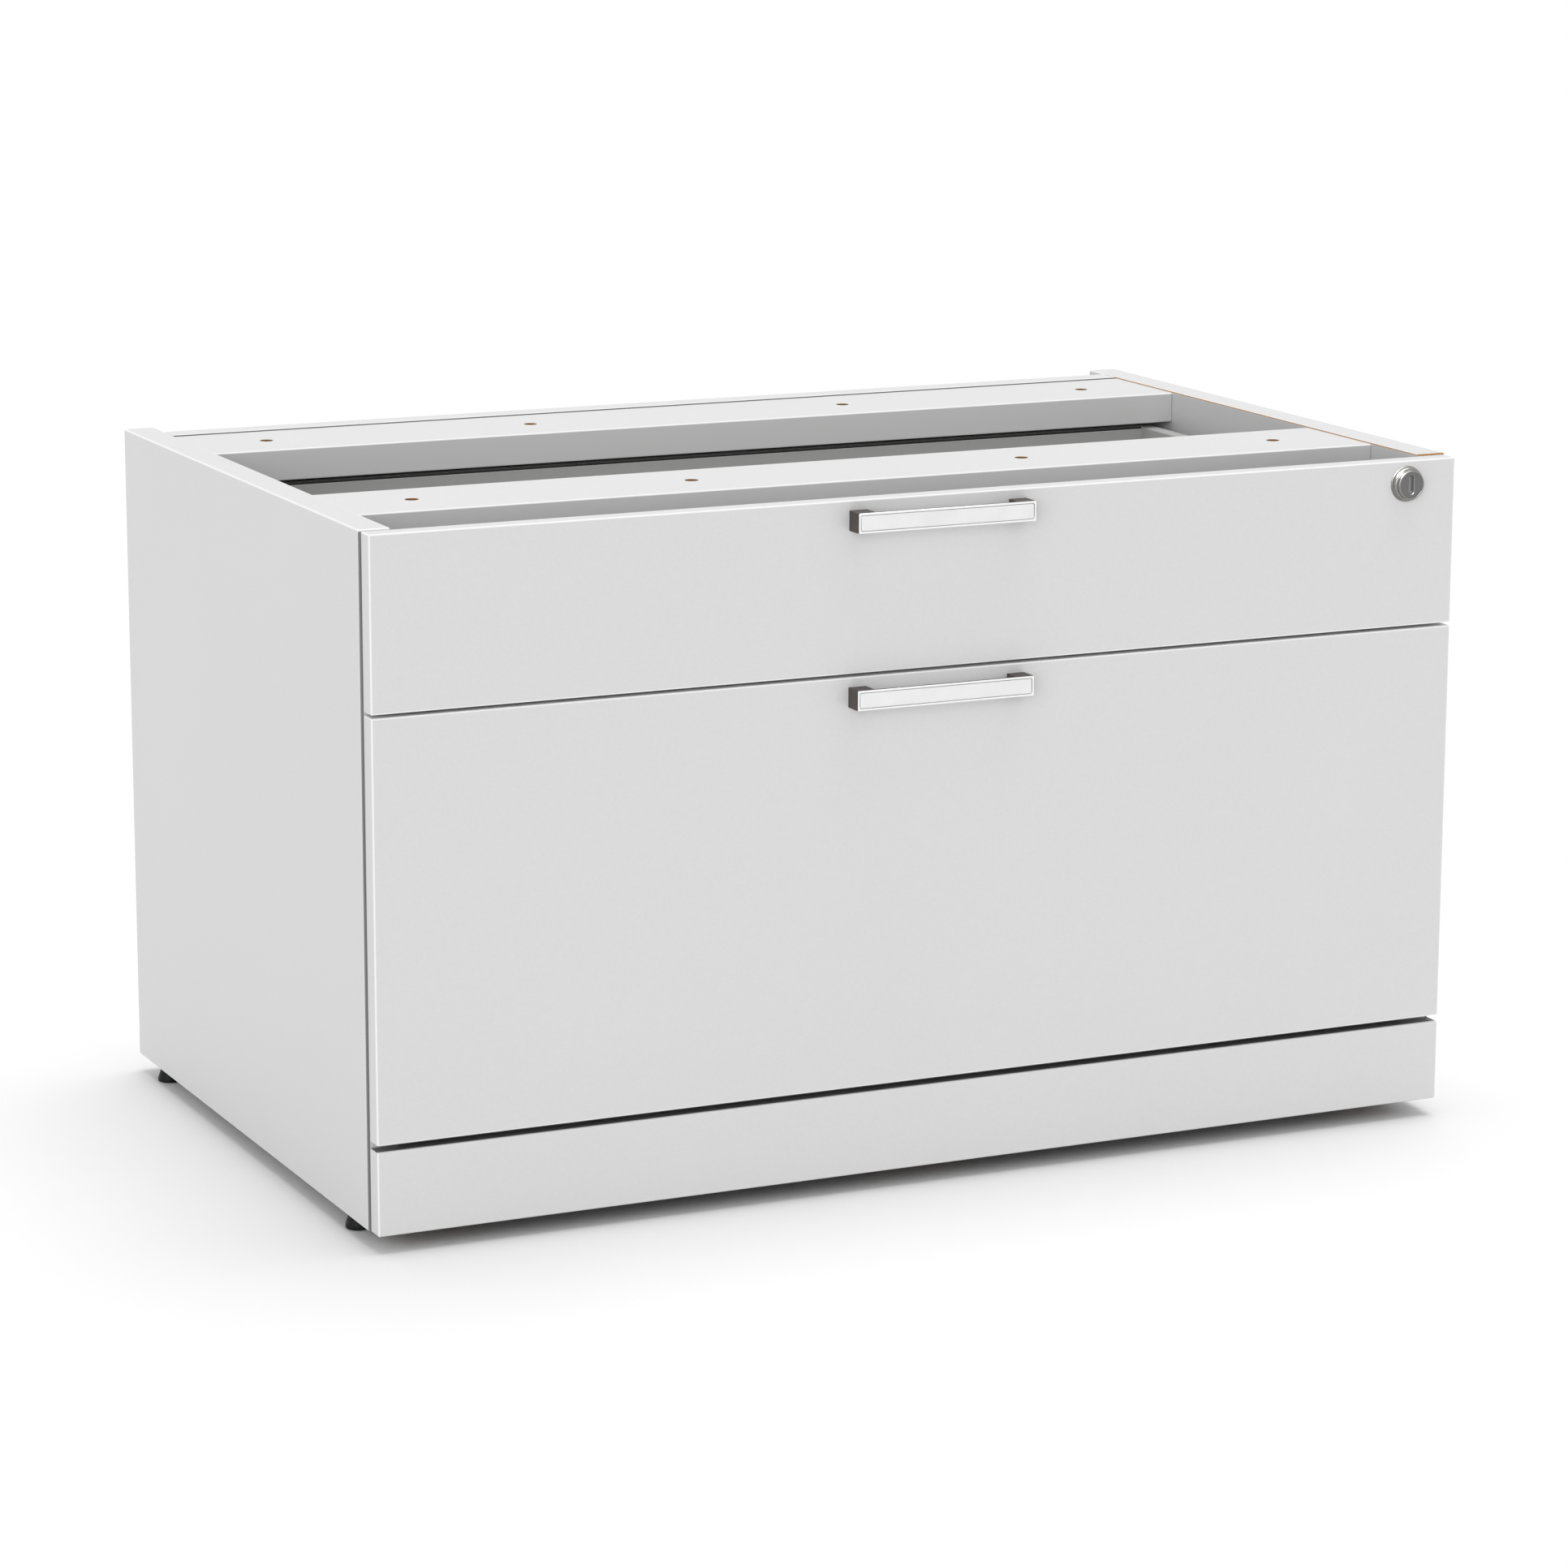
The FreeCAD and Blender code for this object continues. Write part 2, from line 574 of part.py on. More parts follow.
def slides(name, middle_z):
    """Both telescopic slides of a drawer: three nested channels a side, with caged balls between them."""
    wall = d.slide_wall
    ball_room = (d.ball_radius + d.ball_play) * 2
    cage_room = d.cage_wall + d.cage_gap * 2
    outer_half = d.slide_height / 2
    middle_half = outer_half - wall - ball_room
    inner_half = middle_half - wall - ball_room
    middle_x = wall + cage_room
    middle_reach = d.slide_width - wall - d.lip_gap - middle_x
    inner_reach = d.slide_width - middle_x - wall - cage_room
    members = (
        ("outers", as_size(0), d.slide_reach, outer_half),
        ("middles", middle_x, middle_reach, middle_half),
        ("inners", d.slide_width, -inner_reach, inner_half),
    )
    for member, start, reach, half in members:
        piece = Piece(f"{name}_slide_{member}", 0, slide_y, middle_z)
        outline = channel(start, reach, half, wall, d.slide_lip)
        piece.prism("XZ_Plane", both_slides(outline, middle_z), slide_y, d.slide_length)
        if member != "middles":
            holes = [(y, middle_z) for y in slide_screw_ys]
            for hand in (-1, 1):
                inwards = hand if member == "inners" else -hand
                piece.bore("YZ_Plane", holes, head_bore, (inner_x - start) * hand, wall, inwards)
    ball_rise = d.ball_radius + d.ball_play + wall
    ball_cage(f"{name}_outer_ball_cages", wall + d.cage_gap, outer_half - ball_rise, middle_z)
    ball_cage(f"{name}_inner_ball_cages", middle_x + wall + d.cage_gap, middle_half - ball_rise, middle_z)


def ball_cage(label, start, ball_height, middle_z):
    """The sheet cages of one ball track on both sides of a drawer, with their balls in round holes."""
    half = ball_height + d.cage_wall / 2
    cage_y = slide_y + d.slide_length * cage_start_share
    cage_length = d.slide_length * cage_length_share
    cage = Piece(f"{label}_sheets", 0, cage_y, middle_z, node=False)
    outline = channel(start, d.cage_reach, half, d.cage_wall, None)
    cage.prism("XZ_Plane", both_slides(outline, middle_z), cage_y, cage_length)
    ball_x = inner_x - start - d.cage_reach * ball_across_share
    row = [(ball_x * hand, cage_y + cage_length * share) for hand in (-1, 1) for share in ball_row_shares]
    hole = d.ball_radius + d.cage_hole_play
    balls = []
    for up in (-1, 1):
        cage.bore("XY_Plane", row, hole, middle_z + half * up, d.cage_wall, -up)
        for x, y in row:
            ball = doc.addObject("Part::Sphere", f"{label}_ball")
            ball.setExpression("Radius", d.ball_radius.text)
            place(ball, {"x": x, "y": y, "z": middle_z + ball_height * up})
            balls.append(ball)
    group = doc.addObject("Part::Compound", label)
    group.Label = label
    group.Links = [cage.body, *balls]
    nodes.append(group)


def drawer_screws(box_z, box_height, handle_z, slide_z):
    """Places of the screws of one drawer: box to front, handle and slides."""
    inner_width = box_inner_x * 2
    return SimpleNamespace(
        front=[
            (inner_width * across, box_z + box_height * up)
            for across in front_screw_width_shares
            for up in front_screw_height_shares
        ],
        handle=[((d.handle_length - d.handle_post_width) / 2 * hand, handle_z) for hand in (-1, 1)],
        slide=[(y, slide_z) for y in slide_screw_ys],
    )


def box(drawer, box_z, box_top_z, screws):
    """A drawer box: grooved sides, inner front and back round a bottom panel."""
    groove_z = box_z + d.bottom_rise
    groove_top_z = groove_z + d.bottom_thickness + d.groove_fit

    def grooved(outer, inner, depth):
        return [
            (outer, box_z),
            (inner, box_z),
            (inner, groove_z),
            (inner - depth, groove_z),
            (inner - depth, groove_top_z),
            (inner, groove_top_z),
            (inner, box_top_z),
            (outer, box_top_z),
        ]

    for side, hand in (("left", -1), ("right", 1)):
        wall = Piece(f"{drawer}_{side}_box_side", box_x * hand, front_back_y, box_z)
        outline = grooved(box_x * hand, box_inner_x * hand, d.groove_depth * -hand)
        wall.prism("XZ_Plane", [outline], front_back_y, box_length)
        wall.round(d.edge_round, lambda around: runs_along("Y")(around) and near(around.ZMin, box_top_z))
        wall.bore("YZ_Plane", screws.slide, screw_bore, box_x * hand, d.box_screw_length, -hand)
    subfront = Piece(f"{drawer}_box_front", -box_inner_x, front_back_y, box_z)
    outline = grooved(front_back_y, subfront_y, d.groove_depth)
    subfront.prism("YZ_Plane", [outline], -box_inner_x, box_inner_x * 2)
    subfront.bore("XZ_Plane", screws.front, screw_bore, subfront_y, d.box_wall, -1)
    back = Piece(f"{drawer}_box_back", -box_inner_x, box_back_y, box_z)
    outline = grooved(box_rear_y, box_back_y, -d.groove_depth)
    back.prism("YZ_Plane", [outline], -box_inner_x, box_inner_x * 2)
    spread = d.groove_depth - d.groove_fit
    board(
        f"{drawer}_box_bottom",
        (-box_inner_x - spread, subfront_y - spread, groove_z),
        (box_inner_x + spread, box_back_y + spread, groove_z + d.bottom_thickness),
    )


def handle(drawer, handle_z, screws):
    """A pull: two posts that carry a thin frame with an inset plate."""
    frame_y = front_y - d.handle_projection
    frame_back_y = frame_y + d.handle_plate
    low_z = handle_z - d.handle_height / 2
    high_z = handle_z + d.handle_height / 2
    half = d.handle_length / 2
    posts = Piece(f"{drawer}_handle_posts", 0, front_y, handle_z)
    outlines = [
        rectangle(-half, low_z, d.handle_post_width - half, high_z),
        rectangle(half - d.handle_post_width, low_z, half, high_z),
    ]
    posts.prism("XZ_Plane", outlines, front_y, d.handle_projection - d.handle_plate, -1)
    posts.bore("XZ_Plane", screws.handle, screw_bore, front_y, d.handle_screw_grip, -1)

    frame = Piece(f"{drawer}_handle_frame", 0, frame_y, handle_z)
    frame.prism("XZ_Plane", [rectangle(-half, low_z, half, high_z)], frame_back_y, d.handle_plate, -1)
    frame.round(d.handle_round, lambda around: near(around.YMax, frame_y))
    rim = d.handle_rim
    recess = rectangle(rim - half, low_z + rim, half - rim, high_z - rim)
    frame.recess("XZ_Plane", [recess], frame_y, d.handle_recess, 1)

    insert = Piece(f"{drawer}_handle_insert", 0, frame_y, handle_z)
    edge_in = d.handle_rim + d.handle_groove
    plate = rectangle(edge_in - half, low_z + edge_in, half - edge_in, high_z - edge_in)
    insert.prism("XZ_Plane", [plate], frame_y + d.handle_recess, d.handle_recess, -1)
    insert.round(d.handle_round, lambda around: near(around.YMax, frame_y))


def drawer(name, front_z, front_top_z, box_z, box_top_z, slide_z):
    """A drawer with its front, box, handle, slides, screws and bumpers."""
    handle_z = front_top_z - d.handle_drop - d.handle_height / 2
    screws = drawer_screws(box_z, box_top_z - box_z, handle_z, slide_z)
    front = board(f"{name}_front", (-front_x, front_y, front_z), (front_x, front_back_y, front_top_z))
    front.round(d.edge_round)
    front.bore("XZ_Plane", screws.front, screw_bore, front_back_y, d.front_screw_grip, -1)
    front.bore("XZ_Plane", screws.handle, screw_bore, front_back_y, d.front_thickness, -1)
    box(name, box_z, box_top_z, screws)
    handle(name, handle_z, screws)
    slides(name, slide_z)

    bumpers = Piece(f"{name}_bumpers", 0, front_back_y, front_z)
    levels = (front_z + d.bumper_inset, front_top_z - d.bumper_inset)
    places = [(side_middle_x * hand, z) for hand in (-1, 1) for z in levels]
    bumpers.pins("XZ_Plane", places, d.bumper_radius, front_back_y, d.front_gap - d.bumper_play)

    group = Piece(f"{name}_drawer_screws")
    front_screw_length = d.box_wall + d.front_screw_grip
    group.pins("XZ_Plane", screws.front, d.screw_head_radius, subfront_y, d.screw_head_height)
    group.pins("XZ_Plane", screws.front, d.screw_radius, subfront_y, front_screw_length, -1)
    handle_screw_length = d.front_thickness + d.handle_screw_grip
    group.pins("XZ_Plane", screws.handle, d.screw_head_radius, front_back_y, d.screw_head_height)
    group.pins("XZ_Plane", screws.handle, d.screw_radius, front_back_y, handle_screw_length, -1)
    for hand in (-1, 1):
        group.pins("YZ_Plane", screws.slide, d.screw_head_radius, box_x * hand, d.slide_wall, hand)
        group.pins("YZ_Plane", screws.slide, d.screw_radius, box_x * hand, d.box_screw_length, -hand)
    return front


def file_rail(label, wall_y, inner_y, hand):
    """A hanging-file rail that caps the top of a box wall, with a fin and a leg on the box's inside."""
    top_z = lower_box_top_z
    out_y = inner_y + d.file_rail_wall * hand
    rail = Piece(label, -box_inner_x, wall_y, top_z)
    outline = [
        (wall_y, top_z),
        (inner_y, top_z),
        (inner_y, top_z - d.file_rail_leg),
        (out_y, top_z - d.file_rail_leg),
        (out_y, top_z + d.file_rail_wall + d.file_rail_fin),
        (inner_y, top_z + d.file_rail_wall + d.file_rail_fin),
        (inner_y, top_z + d.file_rail_wall),
        (wall_y, top_z + d.file_rail_wall),
    ]
    rail.prism("YZ_Plane", [outline], -box_inner_x, box_inner_x * 2)


def lock(front):
    """A cylinder lock in the upper front: its plug turns a crank that slides a bolt into the right side."""
    axis = [(lock_x, lock_z)]
    front.bore("XZ_Plane", axis, barrel_radius + d.dowel_fit, front_back_y, d.front_thickness, -1)
    collar_y = front_y - d.lock_projection
    cap_floor_y = collar_y + d.plug_cap_depth
    cap_bore = d.plug_cap_radius + d.plug_play
    plug_bore = d.plug_radius + d.plug_play
    shoulder_y = front_y - d.lock_shoulder_height
    rim_y = front_y - d.lock_rim_thickness

    housing = Piece("lock_housing", lock_x, front_y, lock_z)
    housing.turn("XY_Plane", [
        (plug_bore, barrel_end_y),
        (plug_bore, cap_floor_y),
        (cap_bore, cap_floor_y),
        (cap_bore, collar_y),
        (collar_radius, collar_y),
        (collar_radius, shoulder_y),
        (shoulder_radius, shoulder_y),
        (shoulder_radius, rim_y),
        (rim_radius, rim_y),
        (rim_radius, front_y),
        (barrel_radius, front_y),
        (barrel_radius, barrel_end_y),
    ])
    rounded = (
        (collar_radius, collar_y, d.lock_collar_wall * lip_round_share),
        (shoulder_radius, shoulder_y, d.lock_shoulder_step * shoulder_round_share),
        (collar_radius, shoulder_y, d.lock_shoulder_step * root_round_share),
    )
    for radius, y, rounding in rounded:
        housing.round(rounding, across_y(y, lambda width: near(width, radius * 2)))

    plug = Piece("lock_plug", lock_x, front_y, lock_z)
    face_y = collar_y + d.plug_sink
    plug.turn("XY_Plane", [
        (0, face_y),
        (d.plug_cap_radius, face_y),
        (d.plug_cap_radius, cap_floor_y - d.plug_play),
        (d.plug_radius, cap_floor_y - d.plug_play),
        (d.plug_radius, barrel_end_y),
        (0, barrel_end_y),
    ])
    slot_half = d.key_slot_width / 2
    slot_end = d.key_slot_length / 2 - slot_half
    slot = rectangle(lock_x - slot_half, lock_z - slot_end, lock_x + slot_half, lock_z + slot_end)
    plug.recess("XZ_Plane", [slot], face_y, d.key_slot_depth, 1)
    for end in (-1, 1):
        plug.bore("XZ_Plane", [(lock_x, lock_z + slot_end * end)], slot_half, face_y, d.key_slot_depth, 1)
    plug.round(d.key_slot_round, across_y(face_y, lambda width: width < d.plug_cap_radius.value))
    square_half = d.crank_square / 2
    square = rectangle(lock_x - square_half, lock_z - square_half, lock_x + square_half, lock_z + square_half)
    plug.prism("XZ_Plane", [square], barrel_end_y, d.lock_play + d.crank_thickness)

    crank = Piece("lock_crank", lock_x, crank_y, lock_z)
    pin = [(lock_x - crank_pin_offset, lock_z + crank_pin_offset)]
    crank.pins("XZ_Plane", axis, barrel_radius, crank_y, d.crank_thickness)
    crank.recess("XZ_Plane", [square], crank_y, d.crank_thickness, 1)
    crank.pins("XZ_Plane", pin, d.crank_pin_radius, crank_y, pin_end_y - crank_y)

    bolt = Piece("lock_bolt", lock_x, bolt_y, lock_z)
    fork_x = lock_x - crank_pin_offset
    fork_half = d.crank_pin_radius + d.lock_play
    lug_half = d.bolt_lug_width / 2
    bar_half = d.bolt_height / 2
    tip_x = lock_case_x
    lug_z = lock_z + lock_case_inside - d.lock_play
    fork_z = lock_z + crank_pin_offset - fork_half
    bolt.prism("XZ_Plane", [[
        (lock_x - d.bolt_tail, lock_z - bar_half),
        (tip_x, lock_z - bar_half),
        (tip_x, lock_z + bar_half),
        (fork_x + lug_half, lock_z + bar_half),
        (fork_x + lug_half, lug_z),
        (fork_x + fork_half, lug_z),
        (fork_x + fork_half, fork_z),
        (fork_x - fork_half, fork_z),
        (fork_x - fork_half, lug_z),
        (fork_x - lug_half, lug_z),
        (fork_x - lug_half, lock_z + bar_half),
        (lock_x - d.bolt_tail, lock_z + bar_half),
    ]], bolt_y, d.bolt_thickness)

    left_x = lock_x - d.lock_case_left
    ear_x = left_x - d.lock_ear
    low_z = lock_z - lock_case_half
    high_z = lock_z + lock_case_half
    case_y = lock_case_inner_y + d.lock_case_wall
    shell = Piece("lock_case", lock_x, front_back_y, lock_z)
    outside = rectangle(left_x, low_z, lock_case_x, high_z)
    wall = d.lock_case_wall
    inside = rectangle(left_x + wall, low_z + wall, lock_case_x - wall, high_z - wall)
    shell.prism("XZ_Plane", [outside], front_back_y, case_y - front_back_y)
    shell.recess("XZ_Plane", [inside], front_back_y, lock_case_inner_y - front_back_y, 1)
    ear = rectangle(ear_x, low_z, left_x, high_z)
    shell.prism("XZ_Plane", [ear], front_back_y, d.lock_case_wall)
    window = rectangle(
        bolt_y - d.lock_play / 2,
        lock_z - bar_half - d.lock_play / 2,
        bolt_rear_y + d.lock_play / 2,
        lock_z + bar_half + d.lock_play / 2,
    )
    shell.recess("YZ_Plane", [window], lock_case_x, wall, -1)
    ear_screws = [
        (left_x - d.lock_ear / 2, lock_z + lock_case_half * share) for share in ear_screw_height_shares
    ]
    shell.bore("XZ_Plane", ear_screws, screw_bore, front_back_y, d.lock_case_wall, 1)
    front.bore("XZ_Plane", ear_screws, screw_bore, front_back_y, d.front_screw_grip, -1)
    ear_y = front_back_y + d.lock_case_wall
    screws = Piece("lock_case_screws")
    screws.pins("XZ_Plane", ear_screws, d.screw_head_radius, ear_y, d.screw_head_height)
    screws.pins("XZ_Plane", ear_screws, d.screw_radius, ear_y, d.lock_case_wall + d.front_screw_grip, -1)


case()
for end, y in glide_ys.items():
    for side, hand in (("left", -1), ("right", 1)):
        glide(f"{end}_{side}_glide", side_middle_x * hand, y)
upper_front = drawer("upper", upper_front_z, upper_front_top_z, upper_box_z, upper_box_top_z, upper_slide_z)
lock(upper_front)
drawer("lower", lower_front_z, lower_front_top_z, lower_box_z, lower_box_top_z, lower_slide_z)
file_rail("front_file_rail", front_back_y, subfront_y, 1)
file_rail("rear_file_rail", box_rear_y, box_back_y, -1)

doc.recompute()

# Nothing is written unless every feature and every sub-part is sound
for item in doc.Objects:
    if {"Invalid", "Error"} & set(item.State):
        raise RuntimeError(f"{item.Name} failed: {item.State}")
for feature in Piece.cuts:
    if feature.Shape.Volume >= feature.BaseFeature.Shape.Volume:
        raise RuntimeError(f"{feature.Name} cuts nothing")
for node in nodes:
    if node.Shape.isNull() or not node.Shape.isValid() or not node.Shape.Solids:
        raise RuntimeError(f"{node.Label} has no sound solid")

os.makedirs("parts", exist_ok=True)
for node in nodes:
    node.Shape.exportStep(os.path.join("parts", f"{node.Label}.step"))
print(f"{len(nodes)} sub-parts written")
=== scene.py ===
"""A low drawer cabinet: finishes for its panels, drawers, handles, lock, slides and glides, and a stage."""

import functools
import json
import math

import bpy
import numpy as np
from mathutils import Euler, Matrix, Vector


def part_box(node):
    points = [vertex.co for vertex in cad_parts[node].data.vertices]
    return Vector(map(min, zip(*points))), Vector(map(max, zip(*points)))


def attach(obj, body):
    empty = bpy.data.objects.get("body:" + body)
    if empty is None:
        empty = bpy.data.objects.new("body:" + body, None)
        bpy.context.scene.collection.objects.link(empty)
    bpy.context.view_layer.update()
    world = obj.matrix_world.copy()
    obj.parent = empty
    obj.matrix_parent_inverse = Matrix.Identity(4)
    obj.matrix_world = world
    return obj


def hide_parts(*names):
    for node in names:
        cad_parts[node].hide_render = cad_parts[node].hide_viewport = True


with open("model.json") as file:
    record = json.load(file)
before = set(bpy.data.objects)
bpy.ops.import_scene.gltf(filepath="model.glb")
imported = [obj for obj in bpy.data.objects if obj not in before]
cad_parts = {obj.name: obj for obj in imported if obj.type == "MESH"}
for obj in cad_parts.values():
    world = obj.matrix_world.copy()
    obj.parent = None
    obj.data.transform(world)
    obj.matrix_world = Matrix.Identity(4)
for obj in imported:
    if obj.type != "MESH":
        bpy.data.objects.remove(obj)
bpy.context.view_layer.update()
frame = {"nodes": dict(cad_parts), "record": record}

bl_info = {
    "name": "Drawer cabinet",
    "version": (1, 0, 0),
    "blender": (4, 5, 0),
    "location": "3D View > Sidebar > Cabinet",
    "description": "Builds the looks of a low drawer cabinet round its solids",
    "category": "Object",
}

MM = 0.001
TURN = 2 * math.pi
QUARTER = math.pi / 2
AXES = "XYZ"
DRAWERS = ("upper", "lower")
WHITE = (1.0, 1.0, 1.0)

# Stretch of the noise in drawn metal: small along the axis that the lines follow
EVEN = (1.0, 1.0, 1.0)
BRUSHED_ALONG_X = (0.04, 1.0, 1.0)
DRAWN_ALONG_X = (0.05, 1.0, 1.0)
ROLLED_ALONG_Y = (1.0, 0.03, 1.0)

# Width of the painted highlight along a board's edges, and of its part without the soft border
EDGE_HIGHLIGHT = 1.3 * MM
EDGE_HIGHLIGHT_SOLID = 0.7 * EDGE_HIGHLIGHT

# How far a mark on a face reaches into the board
FACE_DEPTH = 0.3 * MM


# Shader values and finishes

class Value:
    """A socket of a finish. Sums, products and comparisons of values add Math nodes."""

    def __init__(self, finish, socket):
        self.finish = finish
        self.socket = socket

    def join(self, operation, first, second=0.0):
        """Adds a Math node."""
        return self.finish.node("ShaderNodeMath", {"operation": operation}, {0: first, 1: second})

    def __add__(self, other):
        return self.join("ADD", self, other)

    def __sub__(self, other):
        return self.join("SUBTRACT", self, other)

    def __rsub__(self, other):
        return self.join("SUBTRACT", other, self)

    def __mul__(self, other):
        return self.join("MULTIPLY", self, other)

    def __lt__(self, other):
        return self.join("LESS_THAN", self, other)

    def __gt__(self, other):
        return self.join("GREATER_THAN", self, other)

    def __abs__(self):
        return self.join("ABSOLUTE", self)

    __radd__ = __add__
    __rmul__ = __mul__

    def highest(self, other):
        return self.join("MAXIMUM", self, other)

    def root(self):
        return self.join("SQRT", self)


def any_of(masks):
    """A mask that is 1 where one of several masks is 1."""
    return functools.reduce(Value.highest, masks)


class Finish:
    """One procedural material that reads the object's own coordinates, in metres."""

    def __init__(self, name):
        self.material = bpy.data.materials.new(name)
        self.material.use_nodes = True
        self.start(self.material.node_tree, "ShaderNodeOutputMaterial")
        self.at = self.node("ShaderNodeTexCoord", output="Object")

    @classmethod
    def of_tree(cls, tree, output):
        """Takes over another node tree, such as the sky's."""
        finish = cls.__new__(cls)
        finish.start(tree, output)
        return finish

    def start(self, tree, output):
        """Empties a node tree and gives it an output node."""
        self.tree = tree
        self.tree.nodes.clear()
        self.output = self.tree.nodes.new(output)

    def end(self, shader):
        """Links a shader to the output node."""
        self.tree.links.new(shader.socket, self.output.inputs["Surface"])

    def seen(self):
        """1 for what the camera, a mirror or glass sees, and 0 for light on its way to a surface."""
        rays = ("Camera", "Glossy", "Transmission")
        return any_of([self.node("ShaderNodeLightPath", output=f"Is {ray} Ray") for ray in rays])

    def node(self, kind, settings=None, sockets=None, output=0):
        """Adds a node: its settings first, then the values or links of its sockets."""
        made = self.tree.nodes.new(kind)
        for name, setting in (settings or {}).items():
            setattr(made, name, setting)
        for name, value in (sockets or {}).items():
            if isinstance(value, Value):
                self.tree.links.new(value.socket, made.inputs[name])
            else:
                made.inputs[name].default_value = value
        return Value(self, made.outputs[output])

    def along(self, axis):
        """One coordinate of the object, in metres."""
        return self.node("ShaderNodeSeparateXYZ", None, {0: self.at}, output=axis)

    def noise(self, scale, detail=2.0, roughness=0.5, stretch=EVEN):
        """Soft noise with the given number of waves per metre."""
        at = self.node("ShaderNodeMapping", None, {"Vector": self.at, "Scale": stretch})
        sockets = {"Vector": at, "Scale": scale, "Detail": detail, "Roughness": roughness}
        return self.node("ShaderNodeTexNoise", {"noise_dimensions": "3D"}, sockets)

    def cells(self, scale):
        """Distance to the nearest of many scattered points."""
        return self.node("ShaderNodeTexVoronoi", None, {"Vector": self.at, "Scale": scale})

    def spread(self, value, low, high):
        """Stretches the part of a value between low and high to 0 and 1."""
        sockets = {"Value": value, "From Min": low, "From Max": high}
        return self.node("ShaderNodeMapRange", {"clamp": True}, sockets)

    def mix(self, share, first, second):
        """Goes from the first colour to the second."""
        first = first if isinstance(first, Value) else (*first, 1.0)
        second = second if isinstance(second, Value) else (*second, 1.0)
        return self.node("ShaderNodeMix", {"data_type": "RGBA"}, {0: share, 6: first, 7: second}, output=2)

    def bump(self, height, distance, strength):
        """Raises the surface by height times distance, in metres."""
        sockets = {"Height": height, "Distance": distance, "Strength": strength}
        return self.node("ShaderNodeBump", None, sockets, output="Normal")

    def surface(self, **sockets):
        """Ends the material in a Principled shader."""
        named = {name.replace("_", " "): value for name, value in sockets.items()}
        self.end(self.node("ShaderNodeBsdfPrincipled", None, named))
        return self.material


def shade(colour, factor):
    """A colour made lighter or darker by a factor."""
    return tuple(min(1.0, part * factor) for part in colour)


def edge_highlight(finish, node, pairs):
    """A mask for the painted highlight: 1 along a board's edges, where two of its coordinates lie near the
    ends of its box.
    """
    low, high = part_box(node)
    middle, half = (low + high) / 2, (high - low) / 2
    near = {}
    for number, axis in enumerate(AXES):
        depth = half[number] - abs(finish.along(axis) - middle[number])
        near[axis] = finish.spread(depth, low=EDGE_HIGHLIGHT, high=EDGE_HIGHLIGHT_SOLID)
    return any_of([near[first] * near[second] for first, second in pairs])


def laminate(name, colour, node=None, pairs=("XY", "YZ", "XZ"), marks=None):
    """Satin board facing: faint clouding and mottling over a very fine pebble, with a painted highlight along
    the edges.
    """
    finish = Finish(name)
    mottle = finish.noise(scale=420.0, detail=3.0, roughness=0.6)
    cloud = finish.noise(scale=5.0)
    tone = finish.spread(mottle * 0.7 + cloud * 0.3, low=0.3, high=0.7)
    skin = finish.mix(tone, shade(colour, 0.978), shade(colour, 1.016))
    if node:
        # Painted highlight: white along the edges stands in for the gloss on the rounded arrises.
        skin = finish.mix(edge_highlight(finish, node, pairs), skin, WHITE)
    if marks:
        skin = marks(finish, skin)
    pebble = finish.noise(scale=1900.0)
    return finish.surface(
        Base_Color=skin,
        Roughness=mottle * 0.1 + 0.4,
        Normal=finish.bump(pebble, distance=0.04 * MM, strength=0.35),
    )


def board_grain(finish):
    """Coarse grain of pressed wood chips."""
    return finish.noise(scale=350.0, detail=4.0, roughness=0.65)


def raw_core(finish, colour):
    """Colour of bare chipboard: pale and dark flakes."""
    flakes = finish.cells(scale=700.0)
    tone = finish.spread(flakes * 0.6 + board_grain(finish) * 0.4, low=0.25, high=0.6)
    return finish.mix(tone, shade(colour, 0.62), shade(colour, 1.15))


def chipboard(name, colour):
    """Bare board."""
    finish = Finish(name)
    grain = board_grain(finish)
    return finish.surface(
        Base_Color=raw_core(finish, colour),
        Roughness=finish.spread(grain, low=0.2, high=0.8) * 0.2 + 0.65,
        Normal=finish.bump(grain, distance=0.2 * MM, strength=0.6),
    )


def drawn_lines(finish, stretch):
    """Fine lines in metal, along the axis that has the least stretch."""
    return finish.noise(scale=900.0, detail=3.0, roughness=0.6, stretch=stretch)


def plated(name, colour, roughness, stretch=EVEN, marks=None):
    """Metal with fine drawn lines and a faint cloudy sheen."""
    finish = Finish(name)
    lines = drawn_lines(finish, stretch)
    cloud = finish.spread(finish.noise(scale=60.0), low=0.3, high=0.7)
    skin = finish.mix(cloud, shade(colour, 0.97), shade(colour, 1.02))
    if marks:
        skin = marks(finish, skin)
    return finish.surface(
        Base_Color=skin,
        Metallic=1.0,
        Roughness=finish.spread(lines, low=0.2, high=0.8) * roughness * 0.4 + roughness * 0.8,
        Normal=finish.bump(lines, distance=0.002 * MM, strength=0.5),
    )


def bright_fronted(name, bright, dark, node, depth):
    """Polished metal on the front of a frame, greyer in its recess as painted shade, and dark lacquer on its
    outer sides.
    """
    finish = Finish(name)
    low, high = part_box(node)
    middle, half = (low + high) / 2, (high - low) / 2
    beside = abs(finish.along("X") - middle.x) > half.x - depth
    above = abs(finish.along("Z") - middle.z) > half.z - depth
    sunk = finish.along("Y") > low.y + depth
    behind = sunk * beside.highest(above)
    grain = finish.spread(drawn_lines(finish, BRUSHED_ALONG_X), low=0.2, high=0.8)
    polish = finish.mix(grain, shade(bright, 0.97), bright)
    # Painted shade: the recess is a greyer copy of the polish.
    skin = finish.mix(sunk, polish, shade(bright, 0.62))
    return finish.surface(
        Base_Color=finish.mix(behind, skin, dark),
        Metallic=1 - behind,
        Roughness=grain * 0.06 + behind * 0.3 + 0.16,
    )


